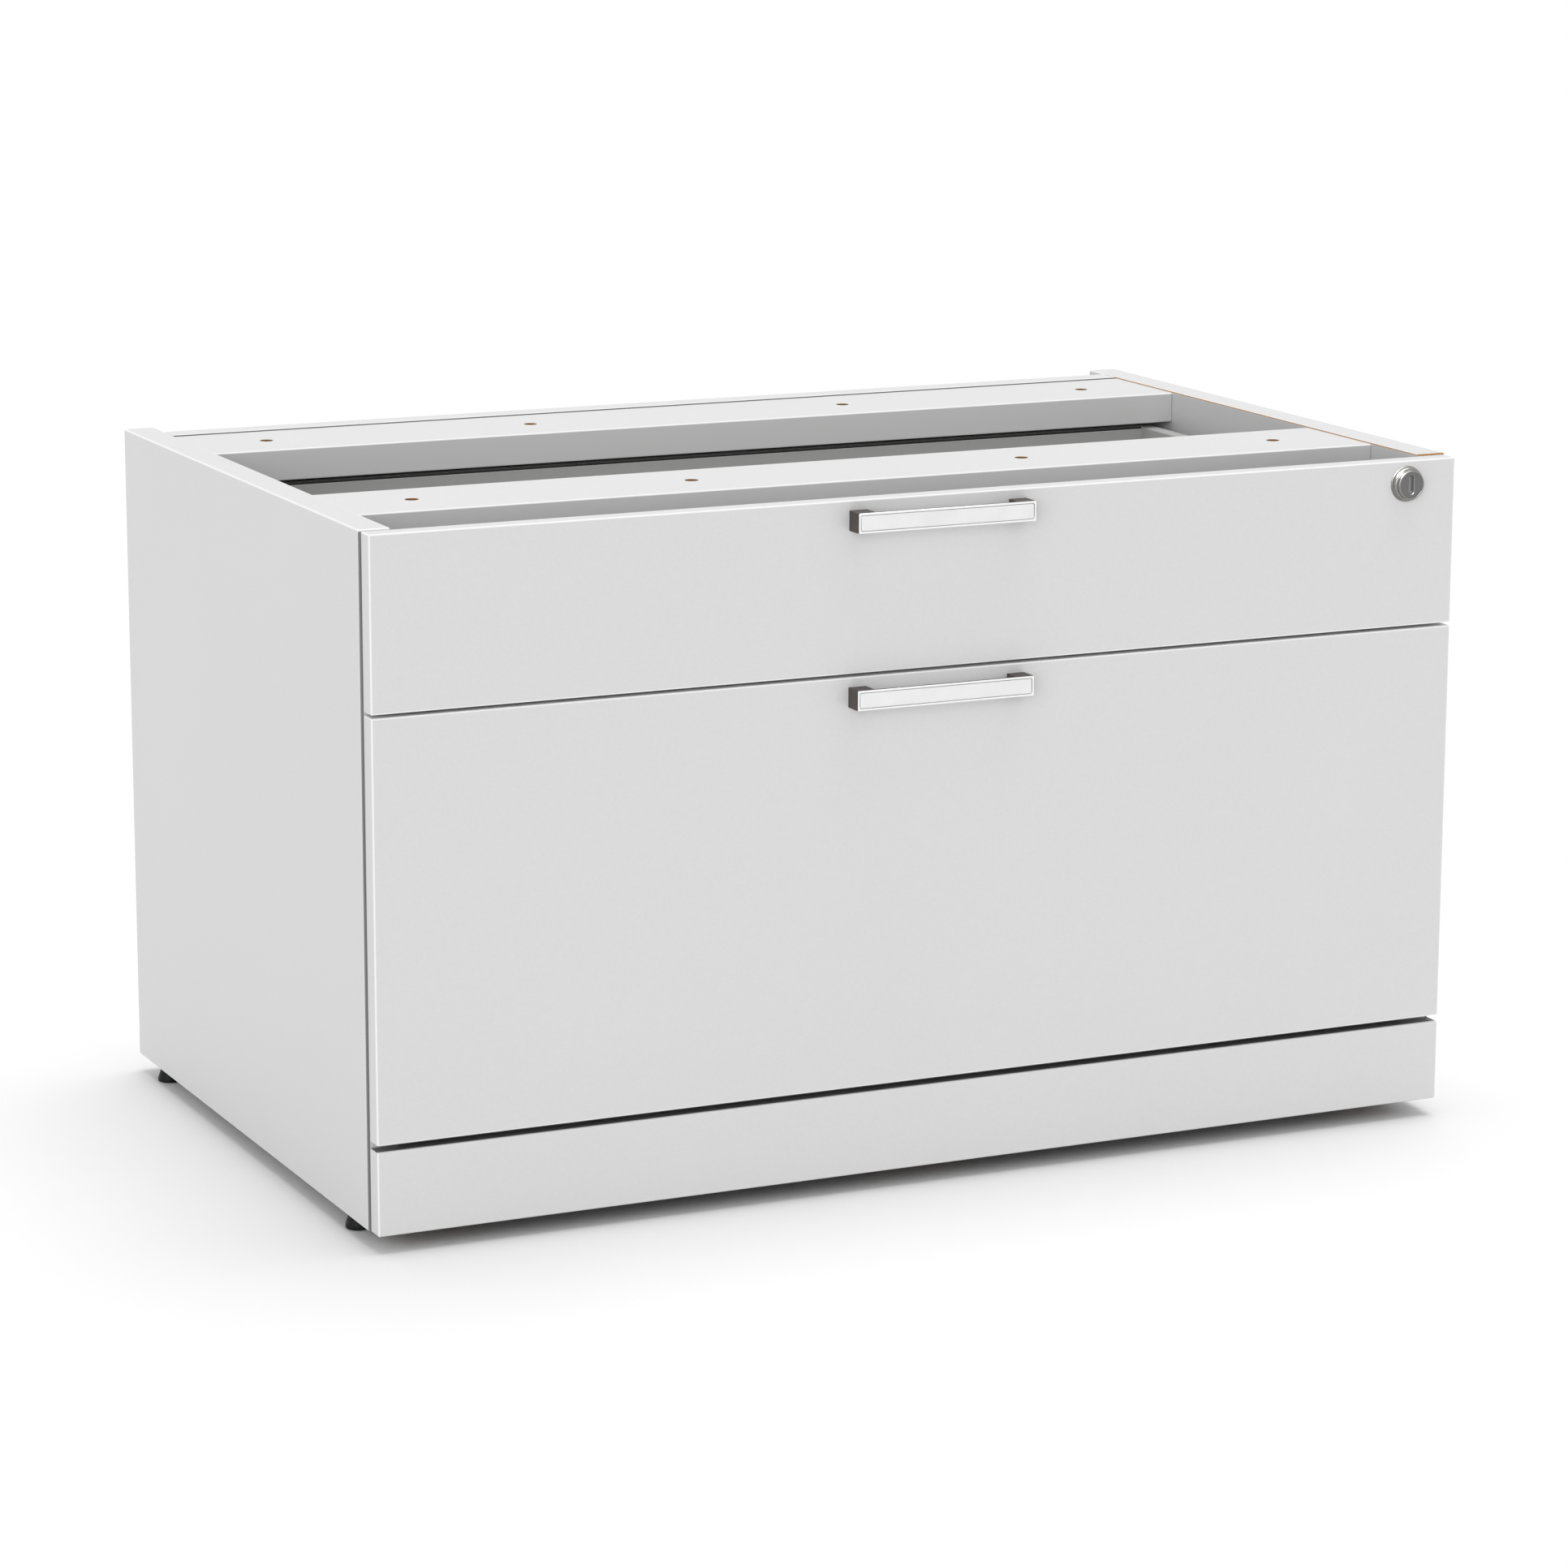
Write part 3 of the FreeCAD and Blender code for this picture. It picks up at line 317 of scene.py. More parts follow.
def moulded(name, colour, roughness, gloss=0.5):
    """Plastic or rubber with a fine spark-eroded skin."""
    finish = Finish(name)
    grain = finish.noise(scale=1600.0, detail=3.0, roughness=0.6)
    tone = finish.spread(grain, low=0.3, high=0.7)
    return finish.surface(
        Base_Color=finish.mix(tone, shade(colour, 0.9), shade(colour, 1.12)),
        Roughness=finish.spread(grain, low=0.2, high=0.8) * 0.15 + roughness,
        Specular_IOR_Level=gloss,
        Normal=finish.bump(grain, distance=0.05 * MM, strength=0.4),
    )


def lacquered(name, colour, roughness):
    """Dark satin lacquer on metal."""
    finish = Finish(name)
    grain = finish.noise(scale=1200.0)
    cloud = finish.spread(finish.noise(scale=120.0), low=0.3, high=0.7)
    return finish.surface(
        Base_Color=finish.mix(cloud, shade(colour, 0.94), shade(colour, 1.06)),
        Roughness=finish.spread(grain, low=0.2, high=0.8) * 0.12 + roughness,
        Normal=finish.bump(grain, distance=0.01 * MM, strength=0.3),
    )


def wear(material, *names):
    """Gives a material to carried-over solids."""
    for name in names:
        for slot in frame["nodes"][name].material_slots:
            slot.material = material


# Surfaces

def ring_faces(rows, columns):
    """Corner numbers of the quads of a grid that closes into a ring both ways."""
    row, column = np.meshgrid(np.arange(rows), np.arange(columns), indexing="ij")
    below, following = (row + 1) % rows, (column + 1) % columns
    corners = ((row, column), (row, following), (below, following), (below, column))
    return np.stack([first * columns + second for first, second in corners], axis=-1).reshape(-1, 4)


def plate_faces(rows, columns):
    """Corner numbers of the quads of a stack of rings, with a strip of quads across each end."""
    first = np.arange(columns // 2 - 1)
    strip = np.stack([first, first + 1, columns - 2 - first, columns - 1 - first], axis=-1)
    sides = ring_faces(rows, columns)[:-columns]
    return np.concatenate([strip[:, ::-1], sides, strip + (rows - 1) * columns])


def stacked_plate(middle, half, profile, count=7):
    """An upright plate as a stack of rounded rectangles. A profile row holds inset, y and corner radius.

    x = sx (half.x - inset - corner) + corner cos(angle),
    z = sz (half.z - inset - corner) + corner sin(angle),
    where sx and sz are the signs of the quarter that the angle lies in. Each corner has count points.
    """
    inset, depth, corner = (profile[:, number:number + 1] for number in range(3))
    quarter = np.repeat(np.arange(4), count)
    angle = np.tile(np.linspace(0.0, QUARTER, count), 4) + quarter * QUARTER
    side = np.where((quarter == 0) | (quarter == 3), 1.0, -1.0)
    level = np.where(quarter < 2, 1.0, -1.0)
    points = np.stack([
        middle.x + side * (half.x - inset - corner) + corner * np.cos(angle),
        np.broadcast_to(depth, (len(profile), len(angle))),
        middle.z + level * (half.z - inset - corner) + corner * np.sin(angle),
    ], axis=-1)
    return points.reshape(-1, 3), plate_faces(len(profile), len(angle))


def rounded_edge(front, radius, steps=6):
    """A quarter circle from a plate's side to its front, for t from 0 to 90 degrees.

    inset = radius (1 - cos(t)), y = front + radius (1 - sin(t)).
    """
    sweep = np.linspace(0.0, QUARTER, steps)
    return np.stack([radius * (1 - np.cos(sweep)), front + radius * (1 - np.sin(sweep))], axis=1)


def turned_outwards(points, quads):
    """Turns the quads round if they enclose a negative volume."""
    first, second, third, fourth = (points[quads[:, number]] for number in range(4))
    volume = np.einsum("ij,ij->", first, np.cross(second, third) + np.cross(third, fourth))
    return quads if volume > 0 else quads[:, ::-1]


def add_piece(name, points, quads, material, body):
    """Makes a smooth mesh piece at the origin, gives it its finish and lets it ride on a body."""
    mesh = bpy.data.meshes.new(name)
    mesh.from_pydata(points.tolist(), [], turned_outwards(points, quads).tolist())
    mesh.polygons.foreach_set("use_smooth", np.full(len(mesh.polygons), True))
    mesh.materials.append(material)
    mesh.update()
    piece = bpy.data.objects.new(name, mesh)
    bpy.context.scene.collection.objects.link(piece)
    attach(piece, body)
    return piece


# Settings

def tint(name, description, default):
    """A property that holds a colour."""
    return bpy.props.FloatVectorProperty(
        name=name, description=description, default=default, subtype="COLOR", min=0.0, max=1.0)


def length(name, description, default):
    """A property that holds a length in metres."""
    return bpy.props.FloatProperty(
        name=name, description=description, default=default, min=0.0, precision=5, unit="LENGTH")


class CabinetFinishes(bpy.types.PropertyGroup):
    """Colours of the cabinet."""

    laminate: tint(
        name="Laminate", description="Facing of the panels and fronts", default=(0.80, 0.80, 0.80))
    core: tint(
        name="Core", description="Bare board in the holes and along open edges", default=(0.43, 0.215, 0.052))
    # Painted shade: a dark sheet under the bottom panel deepens the shadow under the cabinet.
    underside_shade: tint(
        name="Backing", description="Sheet on the underside of the bottom panel", default=(0.16, 0.155, 0.15))
    box: tint(
        name="Drawer boxes", description="Facing of the drawer boxes", default=(0.48, 0.48, 0.475))
    # Painted shadow: the dark strip under the rear rail on the upper box's back.
    painted_shadow: tint(
        name="Seal", description="Dark seal on the back of the upper box", default=(0.012, 0.012, 0.012))
    rubber: tint(
        name="Bumpers", description="Rubber of the bumpers", default=(0.3, 0.3, 0.3))
    rail: tint(
        name="File rails", description="Anodised rails for hanging files", default=(0.72, 0.72, 0.73))
    steel: tint(
        name="Steel", description="Plated slides, screws and lock parts", default=(0.60, 0.60, 0.60))
    post: tint(
        name="Handle posts", description="Dark lacquer of the handle posts", default=(0.05, 0.04, 0.035))
    polish: tint(
        name="Handle rims", description="Polished rims of the handles", default=(0.93, 0.93, 0.93))
    brushed: tint(
        name="Handle pads", description="Brushed pads in the handles", default=(0.83, 0.83, 0.83))
    chrome: tint(
        name="Lock collar", description="Chrome of the lock's collar", default=(0.26, 0.255, 0.245))
    plug: tint(
        name="Lock plug", description="Satin face of the lock's plug", default=(0.17, 0.17, 0.17))
    # Painted light: the keyway is lighter than the plug's face, in place of light inside it.
    keyway: tint(
        name="Keyway", description="Bare metal inside the keyway", default=(0.3, 0.3, 0.3))
    glide: tint(
        name="Glides", description="Plastic of the levelling glides", default=(0.009, 0.0095, 0.01))
    brass: tint(
        name="Inserts", description="Brass of the glides' inserts", default=(0.72, 0.53, 0.24))


class HandleSizes(bpy.types.PropertyGroup):
    """Front of the handles."""

    rim: length(name="Rim", description="Width of the polished rim", default=1.5 * MM)
    groove: length(name="Groove", description="Gap between the rim and the pad", default=0.4 * MM)


class LockSizes(bpy.types.PropertyGroup):
    """Collar of the lock."""

    teeth: bpy.props.IntProperty(name="Teeth", description="Teeth round the rim", default=84, min=3)
    depth: length(name="Tooth depth", description="Depth of a tooth", default=0.2 * MM)
    barrel: length(name="Barrel", description="Radius of the barrel behind the front", default=8.0 * MM)
    bore: length(name="Bore", description="Radius of the bore that holds the plug", default=6.05 * MM)


class StageSettings(bpy.types.PropertyGroup):
    """Camera and light."""

    lens: bpy.props.FloatProperty(
        name="Lens", description="Focal length on a 36 mm sensor", default=116.483, min=10.0, unit="CAMERA")
    sky: bpy.props.FloatProperty(
        name="Sky", description="Strength of the even light from all round", default=0.51, min=0.0)
    top: bpy.props.FloatProperty(
        name="Top light", description="Strength of the soft light from above", default=1.24, min=0.0)
    side: bpy.props.FloatProperty(
        name="Side light", description="Strength of the soft light from the left", default=1.02, min=0.0)
    glint: bpy.props.FloatProperty(
        name="Glint light", description="Power of the lamp that glints on the lock", default=240.0,
        min=0.0, unit="POWER")


def chosen(name):
    """A colour from the settings."""
    return tuple(getattr(bpy.context.scene.cabinet_finishes, name))


# Pieces

class CABINET_OT_panels(bpy.types.Operator):
    """Face the case panels and the drawer fronts with satin laminate"""

    bl_idname = "cabinet.panels"
    bl_label = "Panels and fronts"

    def execute(self, context):
        facing, core = chosen("laminate"), chosen("core")
        # Painted shade: greyer copies of the facing for the bottom panel, the rails below their top arris and
        # the inner faces of the side panels.
        inside, shaded_inner_face = shade(facing, 0.84), shade(facing, 0.88)
        # Painted shade: dark copies of the facing for the gap behind the fronts, the foot of the step up to
        # the back panel and the plinth's top edge under the lower front.
        gap_shade, shadow_line, cap = shade(facing, 0.3), shade(facing, 0.2), shade(facing, 0.16)
        hole_core, block = shade(core, 0.8), shade(core, 1.2)
        holes = [mount for mount in frame["record"]["mounts"] if mount["kind"] == "bolt_pattern"]
        side_low, side_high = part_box("right_side_panel")
        back_low, back_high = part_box("back_panel")
        plinth_low, plinth_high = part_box("plinth_panel")
        bottom_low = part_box("bottom_panel")[0]

        def bored(finish, skin):
            """Greyer below the top arris, as painted shade, with bare board on the walls of the worktop
            holes.
            """
            arris, reach = 2.2 * MM, 0.12 * MM
            middle, dims = holes[0]["pos_m"][1], holes[0]["dims"]
            across = abs(finish.along("X"))
            away = abs(abs(finish.along("Y") - middle) - dims["spacing_y_mm"] * MM / 2)
            walls = []
            for hole in holes:
                beside = across - hole["dims"]["spacing_x_mm"] * MM / 2
                radius = hole["dims"]["hole_r_mm"] * MM + reach
                walls.append((beside * beside + away * away).root() < radius)
            # Painted shade: the rail's faces below the top arris take the greyer copy of the facing.
            skin = finish.mix(finish.along("Z") < side_high.z - arris, skin, inside)
            return finish.mix(any_of(walls), skin, raw_core(finish, hole_core))

        def lined(finish, skin):
            """Painted shade: a dark line up the outer front edge stands in for the shadow in the gap behind
            the fronts. The inner face is greyer, also painted shade.
            """
            inner_depth, line_width, line_depth, line_end = 0.2 * MM, 2.6 * MM, 0.35 * MM, 1.5 * MM
            across = abs(finish.along("X"))
            skin = finish.mix(across < side_low.x + inner_depth, skin, shaded_inner_face)
            outer = across > side_high.x - line_width
            front = finish.along("Y") < side_low.y + line_depth
            below = finish.along("Z") < side_high.z - line_end
            return finish.mix(outer * front * below, skin, gap_shade)

        def open_edges(finish, skin):
            """Bare board along the inner top edge and across the front end of the top edge."""
            inner_width, inner_height, end_length, end_height = 0.5 * MM, 0.9 * MM, 1.6 * MM, 1.2 * MM
            across, along, up = (finish.along(axis) for axis in AXES)
            inner = (across < side_low.x + inner_width) * (up > side_high.z - inner_height)
            inner = inner * (along < back_high.y)
            end = (along < side_low.y + end_length) * (up > side_high.z - end_height)
            return finish.mix(inner.highest(end), lined(finish, skin), raw_core(finish, core))

        def underside_shaded(finish, skin):
            """Painted shade: a dark sheet on the underside, where only shade falls, to deepen the shadow
            under the cabinet.
            """
            return finish.mix(finish.along("Z") < bottom_low.z + FACE_DEPTH, skin, chosen("underside_shade"))

        def grooved(finish, skin):
            """Painted shadow: a dark line along the foot of the step from the rear rail up to the back panel.
            """
            line_depth, step = 1.0 * MM, 0.35 * MM
            front = finish.along("Y") < back_low.y + line_depth
            below = finish.along("Z") < side_high.z - step
            return finish.mix(front * below, skin, shadow_line)

        def shaded_plinth_top(finish, skin):
            """Painted shade on the plinth's top edge, in the gap under the lower front, behind the arris."""
            arris = 2.5 * MM
            behind = finish.along("Y") > plinth_low.y + arris
            top = finish.along("Z") > plinth_high.z - FACE_DEPTH
            return finish.mix(behind * top, skin, cap)

        for node, pairs, marks in (
            ("plinth_panel", ("XY",), shaded_plinth_top),
            ("left_side_panel", ("XZ", "YZ"), lined),
            ("right_side_panel", ("XZ", "YZ"), open_edges),
            ("back_panel", ("YZ",), grooved),
            ("front_top_rail", ("YZ",), bored),
            ("rear_top_rail", ("YZ",), bored),
        ):
            wear(laminate(f"laminate_{node}", facing, node, pairs, marks), node)
        for drawer in DRAWERS:
            node = f"{drawer}_front"
            wear(laminate(f"laminate_{node}", facing, node), node)
        # Painted shade: the bottom panel takes the greyer copy of the facing.
        wear(laminate("laminate_bottom_panel", inside, marks=underside_shaded), "bottom_panel")
        wear(chipboard("block_wood", block), "plinth_blocks", "case_dowels")
        return {"FINISHED"}


class CABINET_OT_boxes(bpy.types.Operator):
    """Face the drawer boxes and finish their bumpers and file rails"""

    bl_idname = "cabinet.boxes"
    bl_label = "Drawer boxes"

    def execute(self, context):
        walls = ("left_box_side", "right_box_side", "box_front", "box_back", "box_bottom")
        box = chosen("box")
        highlight_line = shade(box, 1.5)
        low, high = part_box("upper_box_back")

        def shaded_back_top(finish, skin):
            """Painted shadow: a thin dark strip along the top of the inner face of the upper box's back, with
            a painted highlight line under it.
            """
            shadow_height, highlight_height = 1.7 * MM, 2.1 * MM
            below = high.z - finish.along("Z")
            inner = finish.along("Y") < low.y + FACE_DEPTH
            skin = finish.mix(inner * (below < highlight_height), skin, highlight_line)
            return finish.mix(inner * (below < shadow_height), skin, chosen("painted_shadow"))

        facing = laminate("box_facing", box)
        for drawer in DRAWERS:
            wear(facing, *(f"{drawer}_{wall}" for wall in walls))
        wear(laminate("box_back_facing", box, marks=shaded_back_top), "upper_box_back")
        wear(moulded("bumper_rubber", chosen("rubber"), roughness=0.6), "upper_bumpers", "lower_bumpers")
        wear(plated("anodised_rail", chosen("rail"), roughness=0.35, stretch=DRAWN_ALONG_X),
             "front_file_rail", "rear_file_rail")
        return {"FINISHED"}


class CABINET_OT_handles(bpy.types.Operator):
    """Shape and polish the handle rims, brush their pads and lacquer their posts"""

    bl_idname = "cabinet.handles"
    bl_label = "Handles"

    # Rows this far beside a sharp turn keep the smooth shading of a flat face flat
    held = 0.05 * MM

    def execute(self, context):
        sizes = context.scene.cabinet_handles
        bright_depth = 0.45 * MM
        post = lacquered("handle_lacquer", chosen("post"), roughness=0.42)
        plate = plated("handle_brushed", chosen("brushed"), roughness=0.34, stretch=BRUSHED_ALONG_X)
        for drawer in DRAWERS:
            wear(post, f"{drawer}_handle_posts")
            body, node, inlay = f"{drawer}_drawer", f"{drawer}_handle_frame", f"{drawer}_handle_insert"
            polish = bright_fronted(
                f"{drawer}_handle_polish", chosen("polish"), chosen("post"), node, bright_depth)
            points, quads = self.rim(sizes, node, inlay)
            rim = add_piece(f"{drawer}_handle_rim", points, quads, polish, body)
            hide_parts(node)
            points, quads = self.pad(sizes, node, inlay)
            pad = add_piece(f"{drawer}_handle_pad", points, quads, plate, body)
            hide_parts(inlay)
        return {"FINISHED"}

    def rim(self, sizes, node, inlay):
        """The frame: a plate with a raised rim round a flat recess.

        Quarter circles round the rim's outer edge and, mirrored, its inner edge. The corners are nearly
        sharp outside and rounder inside.
        """
        low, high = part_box(node)
        front, back, floor = low.y, high.y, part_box(inlay)[1].y
        rim, held = sizes.rim, self.held
        edge, lip, outer_corner, inner_corner = 0.4 * MM, 0.25 * MM, 0.7 * MM, 1.4 * MM
        rear = [(held, back), (0.0, back), (0.0, back - held), (0.0, front + edge + held)]
        top = [(edge + held, front), (rim - lip - held, front)]
        inside = rounded_edge(front, lip)[::-1] * (-1.0, 1.0) + (rim, 0.0)
        recess = [(rim, front + lip + held), (rim, floor - held), (rim, floor), (rim + held, floor)]
        line = np.concatenate([rear, rounded_edge(front, edge), top, inside, recess])
        inset = line[:, 0]
        corner = np.where(inset < rim / 2, outer_corner - inset, inner_corner + rim - inset)
        return stacked_plate((low + high) / 2, (high - low) / 2, np.column_stack([line, corner]))

    def pad(self, sizes, node, inlay):
        """The insert: a plate in the recess, with quarter circles round its front edge."""
        low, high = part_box(node)
        front, floor = (corner.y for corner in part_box(inlay))
        held = self.held
        edge, outer_corner = 0.45 * MM, 1.3 * MM
        rear = [(held, floor), (0.0, floor), (0.0, floor - held), (0.0, front + edge + held)]
        line = np.concatenate([rear, rounded_edge(front, edge), [(edge + held, front)]])
        profile = np.column_stack([line, outer_corner - line[:, 0]])
        gap = Vector((1.0, 0.0, 1.0)) * (sizes.rim + sizes.groove)
        return stacked_plate((low + high) / 2, (high - low) / 2 - gap, profile)


class CABINET_OT_lock(bpy.types.Operator):
    """Turn the lock's collar and finish its plug and inner parts"""

    bl_idname = "cabinet.lock"
    bl_label = "Lock"

    def execute(self, context):
        chrome = plated("lock_chrome", chosen("chrome"), roughness=0.27)
        points, quads = self.bezel(context.scene.cabinet_lock)
        bezel = add_piece("lock_bezel", points, quads, chrome, "upper_drawer")
        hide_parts("lock_housing")
        face_depth = 0.25 * MM
        slot_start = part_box("lock_plug")[0].y + face_depth

        def painted_keyway_light(finish, skin):
            """Painted light: a lighter grey inside the keyway stands in for light on its walls."""
            return finish.mix(finish.along("Y") > slot_start, skin, chosen("keyway"))

        wear(plated("lock_face", chosen("plug"), roughness=0.3, marks=painted_keyway_light), "lock_plug")
        wear(plated("lock_steel", chosen("steel"), roughness=0.3),
             "lock_keeper", "lock_crank", "lock_bolt", "lock_case")
        return {"FINISHED"}

    def bezel(self, sizes):
        """The housing, turned about the lock's axis: a closed profile of radius r and height over the front.

        x = r cos(angle), z = r sin(angle). The rim shrinks by depth * (1 - |cos(teeth * angle / 2)|), which
        gives rounded teeth. The collar's profile is written in shares of its width and height: the teeth, a
        quarter of an ellipse each for shoulder, hollow and lip, and the seat of the plug's cap.
        """
        low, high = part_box("lock_housing")
        plug_low, plug_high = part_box("lock_plug")
        middle = (plug_low + plug_high) / 2
        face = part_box("upper_front")[0].y
        clearance = 0.05 * MM
        rim, cap = (high.x - low.x) / 2, (plug_high.x - plug_low.x) / 2 + clearance
        width, proud, tail = rim - cap, face - low.y, face - high.y
        seat_share, points_a_tooth = 0.5, 8
        sweep = np.linspace(0.0, QUARTER, 9)
        cosine, sine = np.cos(sweep), np.sin(sweep)

        def collar(inward, forward):
            """Radius and height at shares of the collar's width and height."""
            return np.stack([rim - width * np.asarray(inward), proud * np.asarray(forward)], axis=1)

        teeth = collar([0.0, 0.0, 0.0, 0.06], [0.0, 0.03, 0.08, 0.11])
        shoulder = collar(0.6 - 0.48 * cosine, 0.12 + 0.5 * sine)
        hollow = collar(0.6 + 0.06 * sine, 0.68 - 0.06 * cosine)[1:]
        lip = collar(0.9 - 0.24 * cosine, 0.86 + 0.14 * sine)
        seat = collar([0.97, 1.0, 1.0], [1.0, 0.98, seat_share])
        bore = [(sizes.bore, proud * seat_share), (sizes.bore, tail)]
        barrel = [(sizes.barrel, tail), (sizes.barrel, 0.0)]
        profile = np.concatenate([teeth, shoulder, hollow, lip, seat, bore, barrel])
        angle = np.linspace(0.0, TURN, sizes.teeth * points_a_tooth, endpoint=False)
        ripple = sizes.depth * (1 - np.abs(np.cos(angle * sizes.teeth / 2)))
        toothed = np.arange(len(profile))[:, None] < len(teeth)
        radius = profile[:, :1] - toothed * ripple
        points = np.stack([
            middle.x + radius * np.cos(angle),
            np.broadcast_to(face - profile[:, 1:], radius.shape),
            middle.z + radius * np.sin(angle),
        ], axis=-1)
        return points.reshape(-1, 3), ring_faces(*radius.shape)


class CABINET_OT_slides(bpy.types.Operator):
    """Plate the slide members, their ball cages and the screws"""

    bl_idname = "cabinet.slides"
    bl_label = "Slides and screws"

    def execute(self, context):
        steel = chosen("steel")
        zinc = plated("slide_zinc", steel, roughness=0.32, stretch=ROLLED_ALONG_Y)
        cage = plated("cage_bright", shade(steel, 0.9), roughness=0.2)
        screw = plated("screw_zinc", shade(steel, 1.1), roughness=0.25)
        for drawer in DRAWERS:
            wear(zinc, *(f"{drawer}_slide_{member}" for member in ("outers", "middles", "inners")))
            wear(cage, f"{drawer}_outer_ball_cages", f"{drawer}_inner_ball_cages")
            wear(screw, f"{drawer}_drawer_screws")
        wear(screw, "slide_case_screws", "lock_case_screws")
        return {"FINISHED"}


class CABINET_OT_glides(bpy.types.Operator):
    """Mould the levelling glides in dark plastic and turn their inserts in brass"""

    bl_idname = "cabinet.glides"
    bl_label = "Levelling glides"

    def execute(self, context):
        wear(moulded("glide_plastic", chosen("glide"), roughness=0.42, gloss=0.2),
             "front_left_glide", "front_right_glide", "rear_left_glide", "rear_right_glide")
        wear(plated("insert_brass", chosen("brass"), roughness=0.28), "glide_inserts")
        return {"FINISHED"}


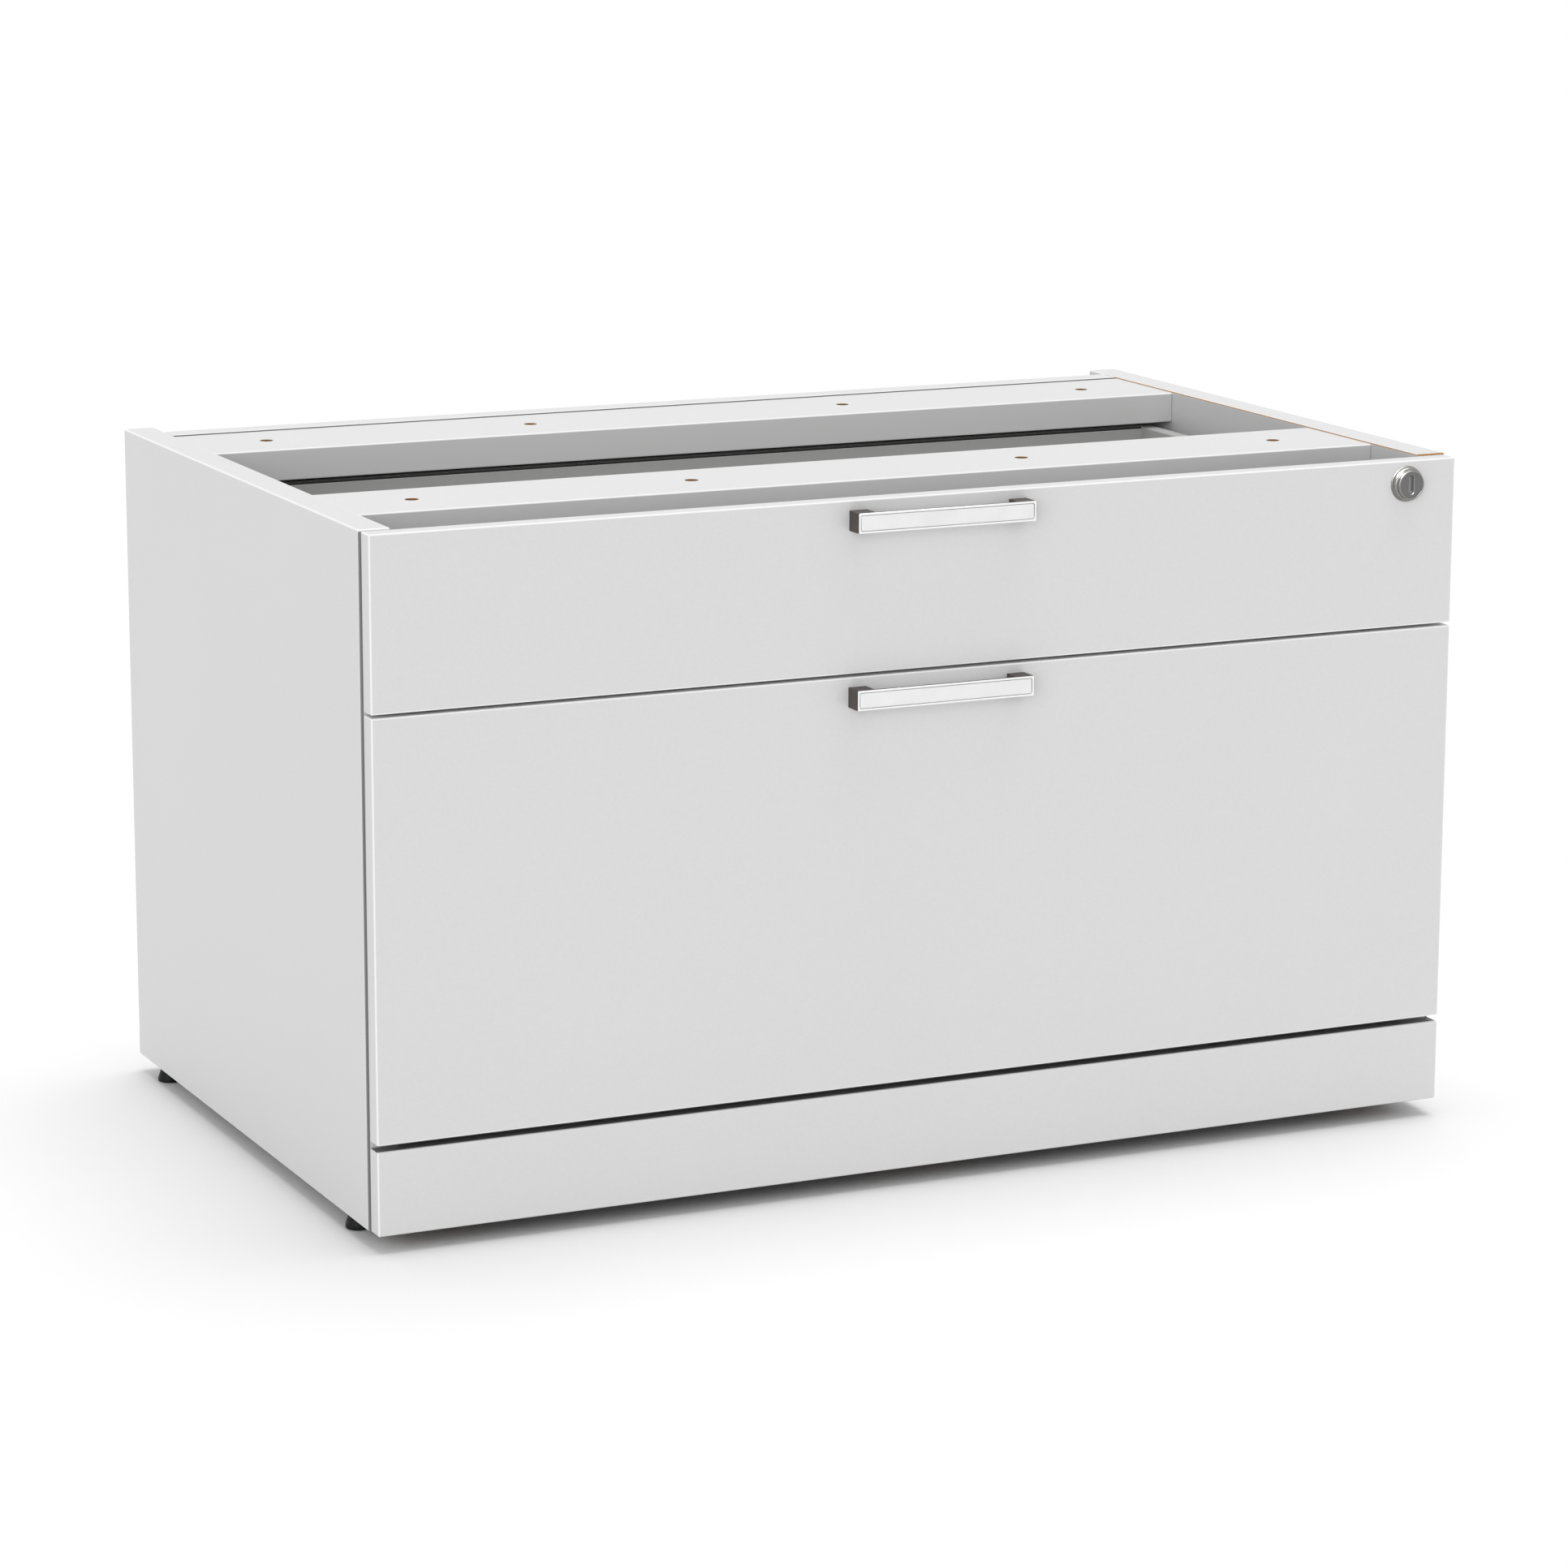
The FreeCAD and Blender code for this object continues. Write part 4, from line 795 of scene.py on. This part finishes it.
class CABINET_OT_stage(bpy.types.Operator):
    """Set the camera, the lamps, the sky and a white floor that keeps the shadow"""

    bl_idname = "cabinet.stage"
    bl_label = "Stage"

    # Camera: its place in metres and its turn, tip and roll in radians
    camera_place = (-1.69952, -3.6409, 1.13786)
    turned, tipped, rolled = 0.43672, 0.214924, 0.003027
    sensor = 36.0

    # Soft lights: the direction that they come from and their width in degrees
    top_from, top_width = (0.13, 0.085, 0.988), 46.0
    side_from, side_width = (-0.60, -0.78, 0.16), 44.0

    # Lamp that glints on the lock: its place, the point that it faces and its size, in metres
    glint_place, glint_aim, glint_size = (-0.74, -0.65, 2.67), (0.41, -0.28, 0.52), (2.4, 1.6)

    # Floor: half its width in metres, its colour for the light that it sends on and its colour as seen
    floor_reach = 60.0
    floor_lit, floor_seen = (0.9, 0.9, 0.9), (1.12, 1.12, 1.12)

    def execute(self, context):
        settings = context.scene.cabinet_stage
        self.set_camera(context, settings.lens)
        self.set_sky(context, settings.sky)
        floor = self.set_floor(context)
        self.set_sun(context, "top_light", self.top_from, self.top_width, settings.top)
        fill = self.set_sun(context, "side_light", self.side_from, self.side_width, settings.side)
        self.keep_off(fill, floor)
        self.set_glint(context, settings.glint)
        context.scene.view_settings.view_transform = "Standard"
        return {"FINISHED"}

    def set_camera(self, context, lens):
        """A camera at the photograph's angle: turned to the right, tipped down, almost level."""
        data = bpy.data.cameras.new("camera")
        data.sensor_width = self.sensor
        data.lens = lens
        camera = bpy.data.objects.new("camera", data)
        context.scene.collection.objects.link(camera)
        aim = Euler((QUARTER - self.tipped, 0.0, -self.turned)).to_matrix().to_4x4()
        place = Matrix.Translation(Vector(self.camera_place))
        camera.matrix_world = place @ aim @ Matrix.Rotation(self.rolled, 4, "Z")
        context.scene.camera = camera

    def set_sky(self, context, strength):
        """Even light, and plain white where the camera, a mirror or glass sees it."""
        world = bpy.data.worlds.new("sky")
        world.use_nodes = True
        sky = Finish.of_tree(world.node_tree, "ShaderNodeOutputWorld")
        unseen = 1 - sky.seen()
        sockets = {"Color": (*WHITE, 1.0), "Strength": 1 - unseen * (1 - strength)}
        sky.end(sky.node("ShaderNodeBackground", None, sockets))
        context.scene.world = world

    def set_floor(self, context):
        """A wide pale floor that the camera, mirrors and glass see as white where no shadow falls."""
        reach = self.floor_reach
        mesh = bpy.data.meshes.new("floor")
        corners = [(-reach, -reach, 0.0), (reach, -reach, 0.0), (reach, reach, 0.0), (-reach, reach, 0.0)]
        mesh.from_pydata(corners, [], [(0, 1, 2, 3)])
        floor = bpy.data.objects.new("floor", mesh)
        context.scene.collection.objects.link(floor)
        finish = Finish("floor_white")
        paint = finish.mix(finish.seen(), self.floor_lit, self.floor_seen)
        finish.end(finish.node("ShaderNodeBsdfDiffuse", None, {"Color": paint}))
        mesh.materials.append(finish.material)
        return floor

    def set_sun(self, context, name, source, width, strength):
        """A soft light that is the same everywhere, from a disc of sky that is width degrees wide."""
        data = bpy.data.lights.new(name, "SUN")
        data.angle = math.radians(width)
        data.energy = strength
        lamp = bpy.data.objects.new(name, data)
        context.scene.collection.objects.link(lamp)
        lamp.rotation_euler = (-Vector(source)).to_track_quat("-Z", "Y").to_euler()
        return lamp

    def keep_off(self, lamp, floor):
        """Lets a lamp light the cabinet and not the floor, so that the shadow at its foot stays dark."""
        left_out = bpy.data.collections.new("left_out")
        left_out.objects.link(floor)
        lamp.light_linking.receiver_collection = left_out
        left_out.collection_objects[0].light_linking.link_state = "EXCLUDE"

    def set_glint(self, context, power):
        """A rectangular lamp that shows only as gloss on the lock."""
        data = bpy.data.lights.new("glint_lamp", "AREA")
        data.shape = "RECTANGLE"
        data.size, data.size_y = self.glint_size
        data.energy = power
        lamp = bpy.data.objects.new("glint_lamp", data)
        context.scene.collection.objects.link(lamp)
        lamp.visible_diffuse = False
        lit = bpy.data.collections.new("glinting")
        for piece in (bpy.data.objects["lock_bezel"], frame["nodes"]["lock_plug"]):
            lit.objects.link(piece)
        lamp.light_linking.receiver_collection = lit
        lamp.location = self.glint_place
        aim = Vector(self.glint_aim) - Vector(self.glint_place)
        lamp.rotation_euler = aim.to_track_quat("-Z", "Y").to_euler()


class VIEW3D_PT_cabinet(bpy.types.Panel):
    """Lists the cabinet's settings and pieces"""

    bl_label = "Drawer cabinet"
    bl_space_type = "VIEW_3D"
    bl_region_type = "UI"
    bl_category = "Cabinet"

    def draw(self, context):
        for group in GROUPS:
            settings = getattr(context.scene, group)
            for name in settings.bl_rna.properties.keys():
                if name not in ("rna_type", "name"):
                    self.layout.prop(settings, name)
        for operator in OPERATORS:
            self.layout.operator(operator.bl_idname)


GROUPS = {
    "cabinet_finishes": CabinetFinishes,
    "cabinet_handles": HandleSizes,
    "cabinet_lock": LockSizes,
    "cabinet_stage": StageSettings,
}
OPERATORS = (CABINET_OT_panels, CABINET_OT_boxes, CABINET_OT_handles, CABINET_OT_lock, CABINET_OT_slides,
             CABINET_OT_glides, CABINET_OT_stage)
CLASSES = (*GROUPS.values(), *OPERATORS, VIEW3D_PT_cabinet)


def register():
    """Registers the classes and hangs their settings on the scene."""
    for item in CLASSES:
        bpy.utils.register_class(item)
    for name, group in GROUPS.items():
        setattr(bpy.types.Scene, name, bpy.props.PointerProperty(type=group))


def unregister():
    """Takes the settings and the classes away again."""
    for name in GROUPS:
        delattr(bpy.types.Scene, name)
    for item in reversed(CLASSES):
        bpy.utils.unregister_class(item)


def main():
    """Builds the looks in order."""
    register()
    bpy.ops.cabinet.panels()
    bpy.ops.cabinet.boxes()
    bpy.ops.cabinet.handles()
    bpy.ops.cabinet.lock()
    bpy.ops.cabinet.slides()
    bpy.ops.cabinet.glides()
    bpy.ops.cabinet.stage()


if __name__ == "__main__":
    main()
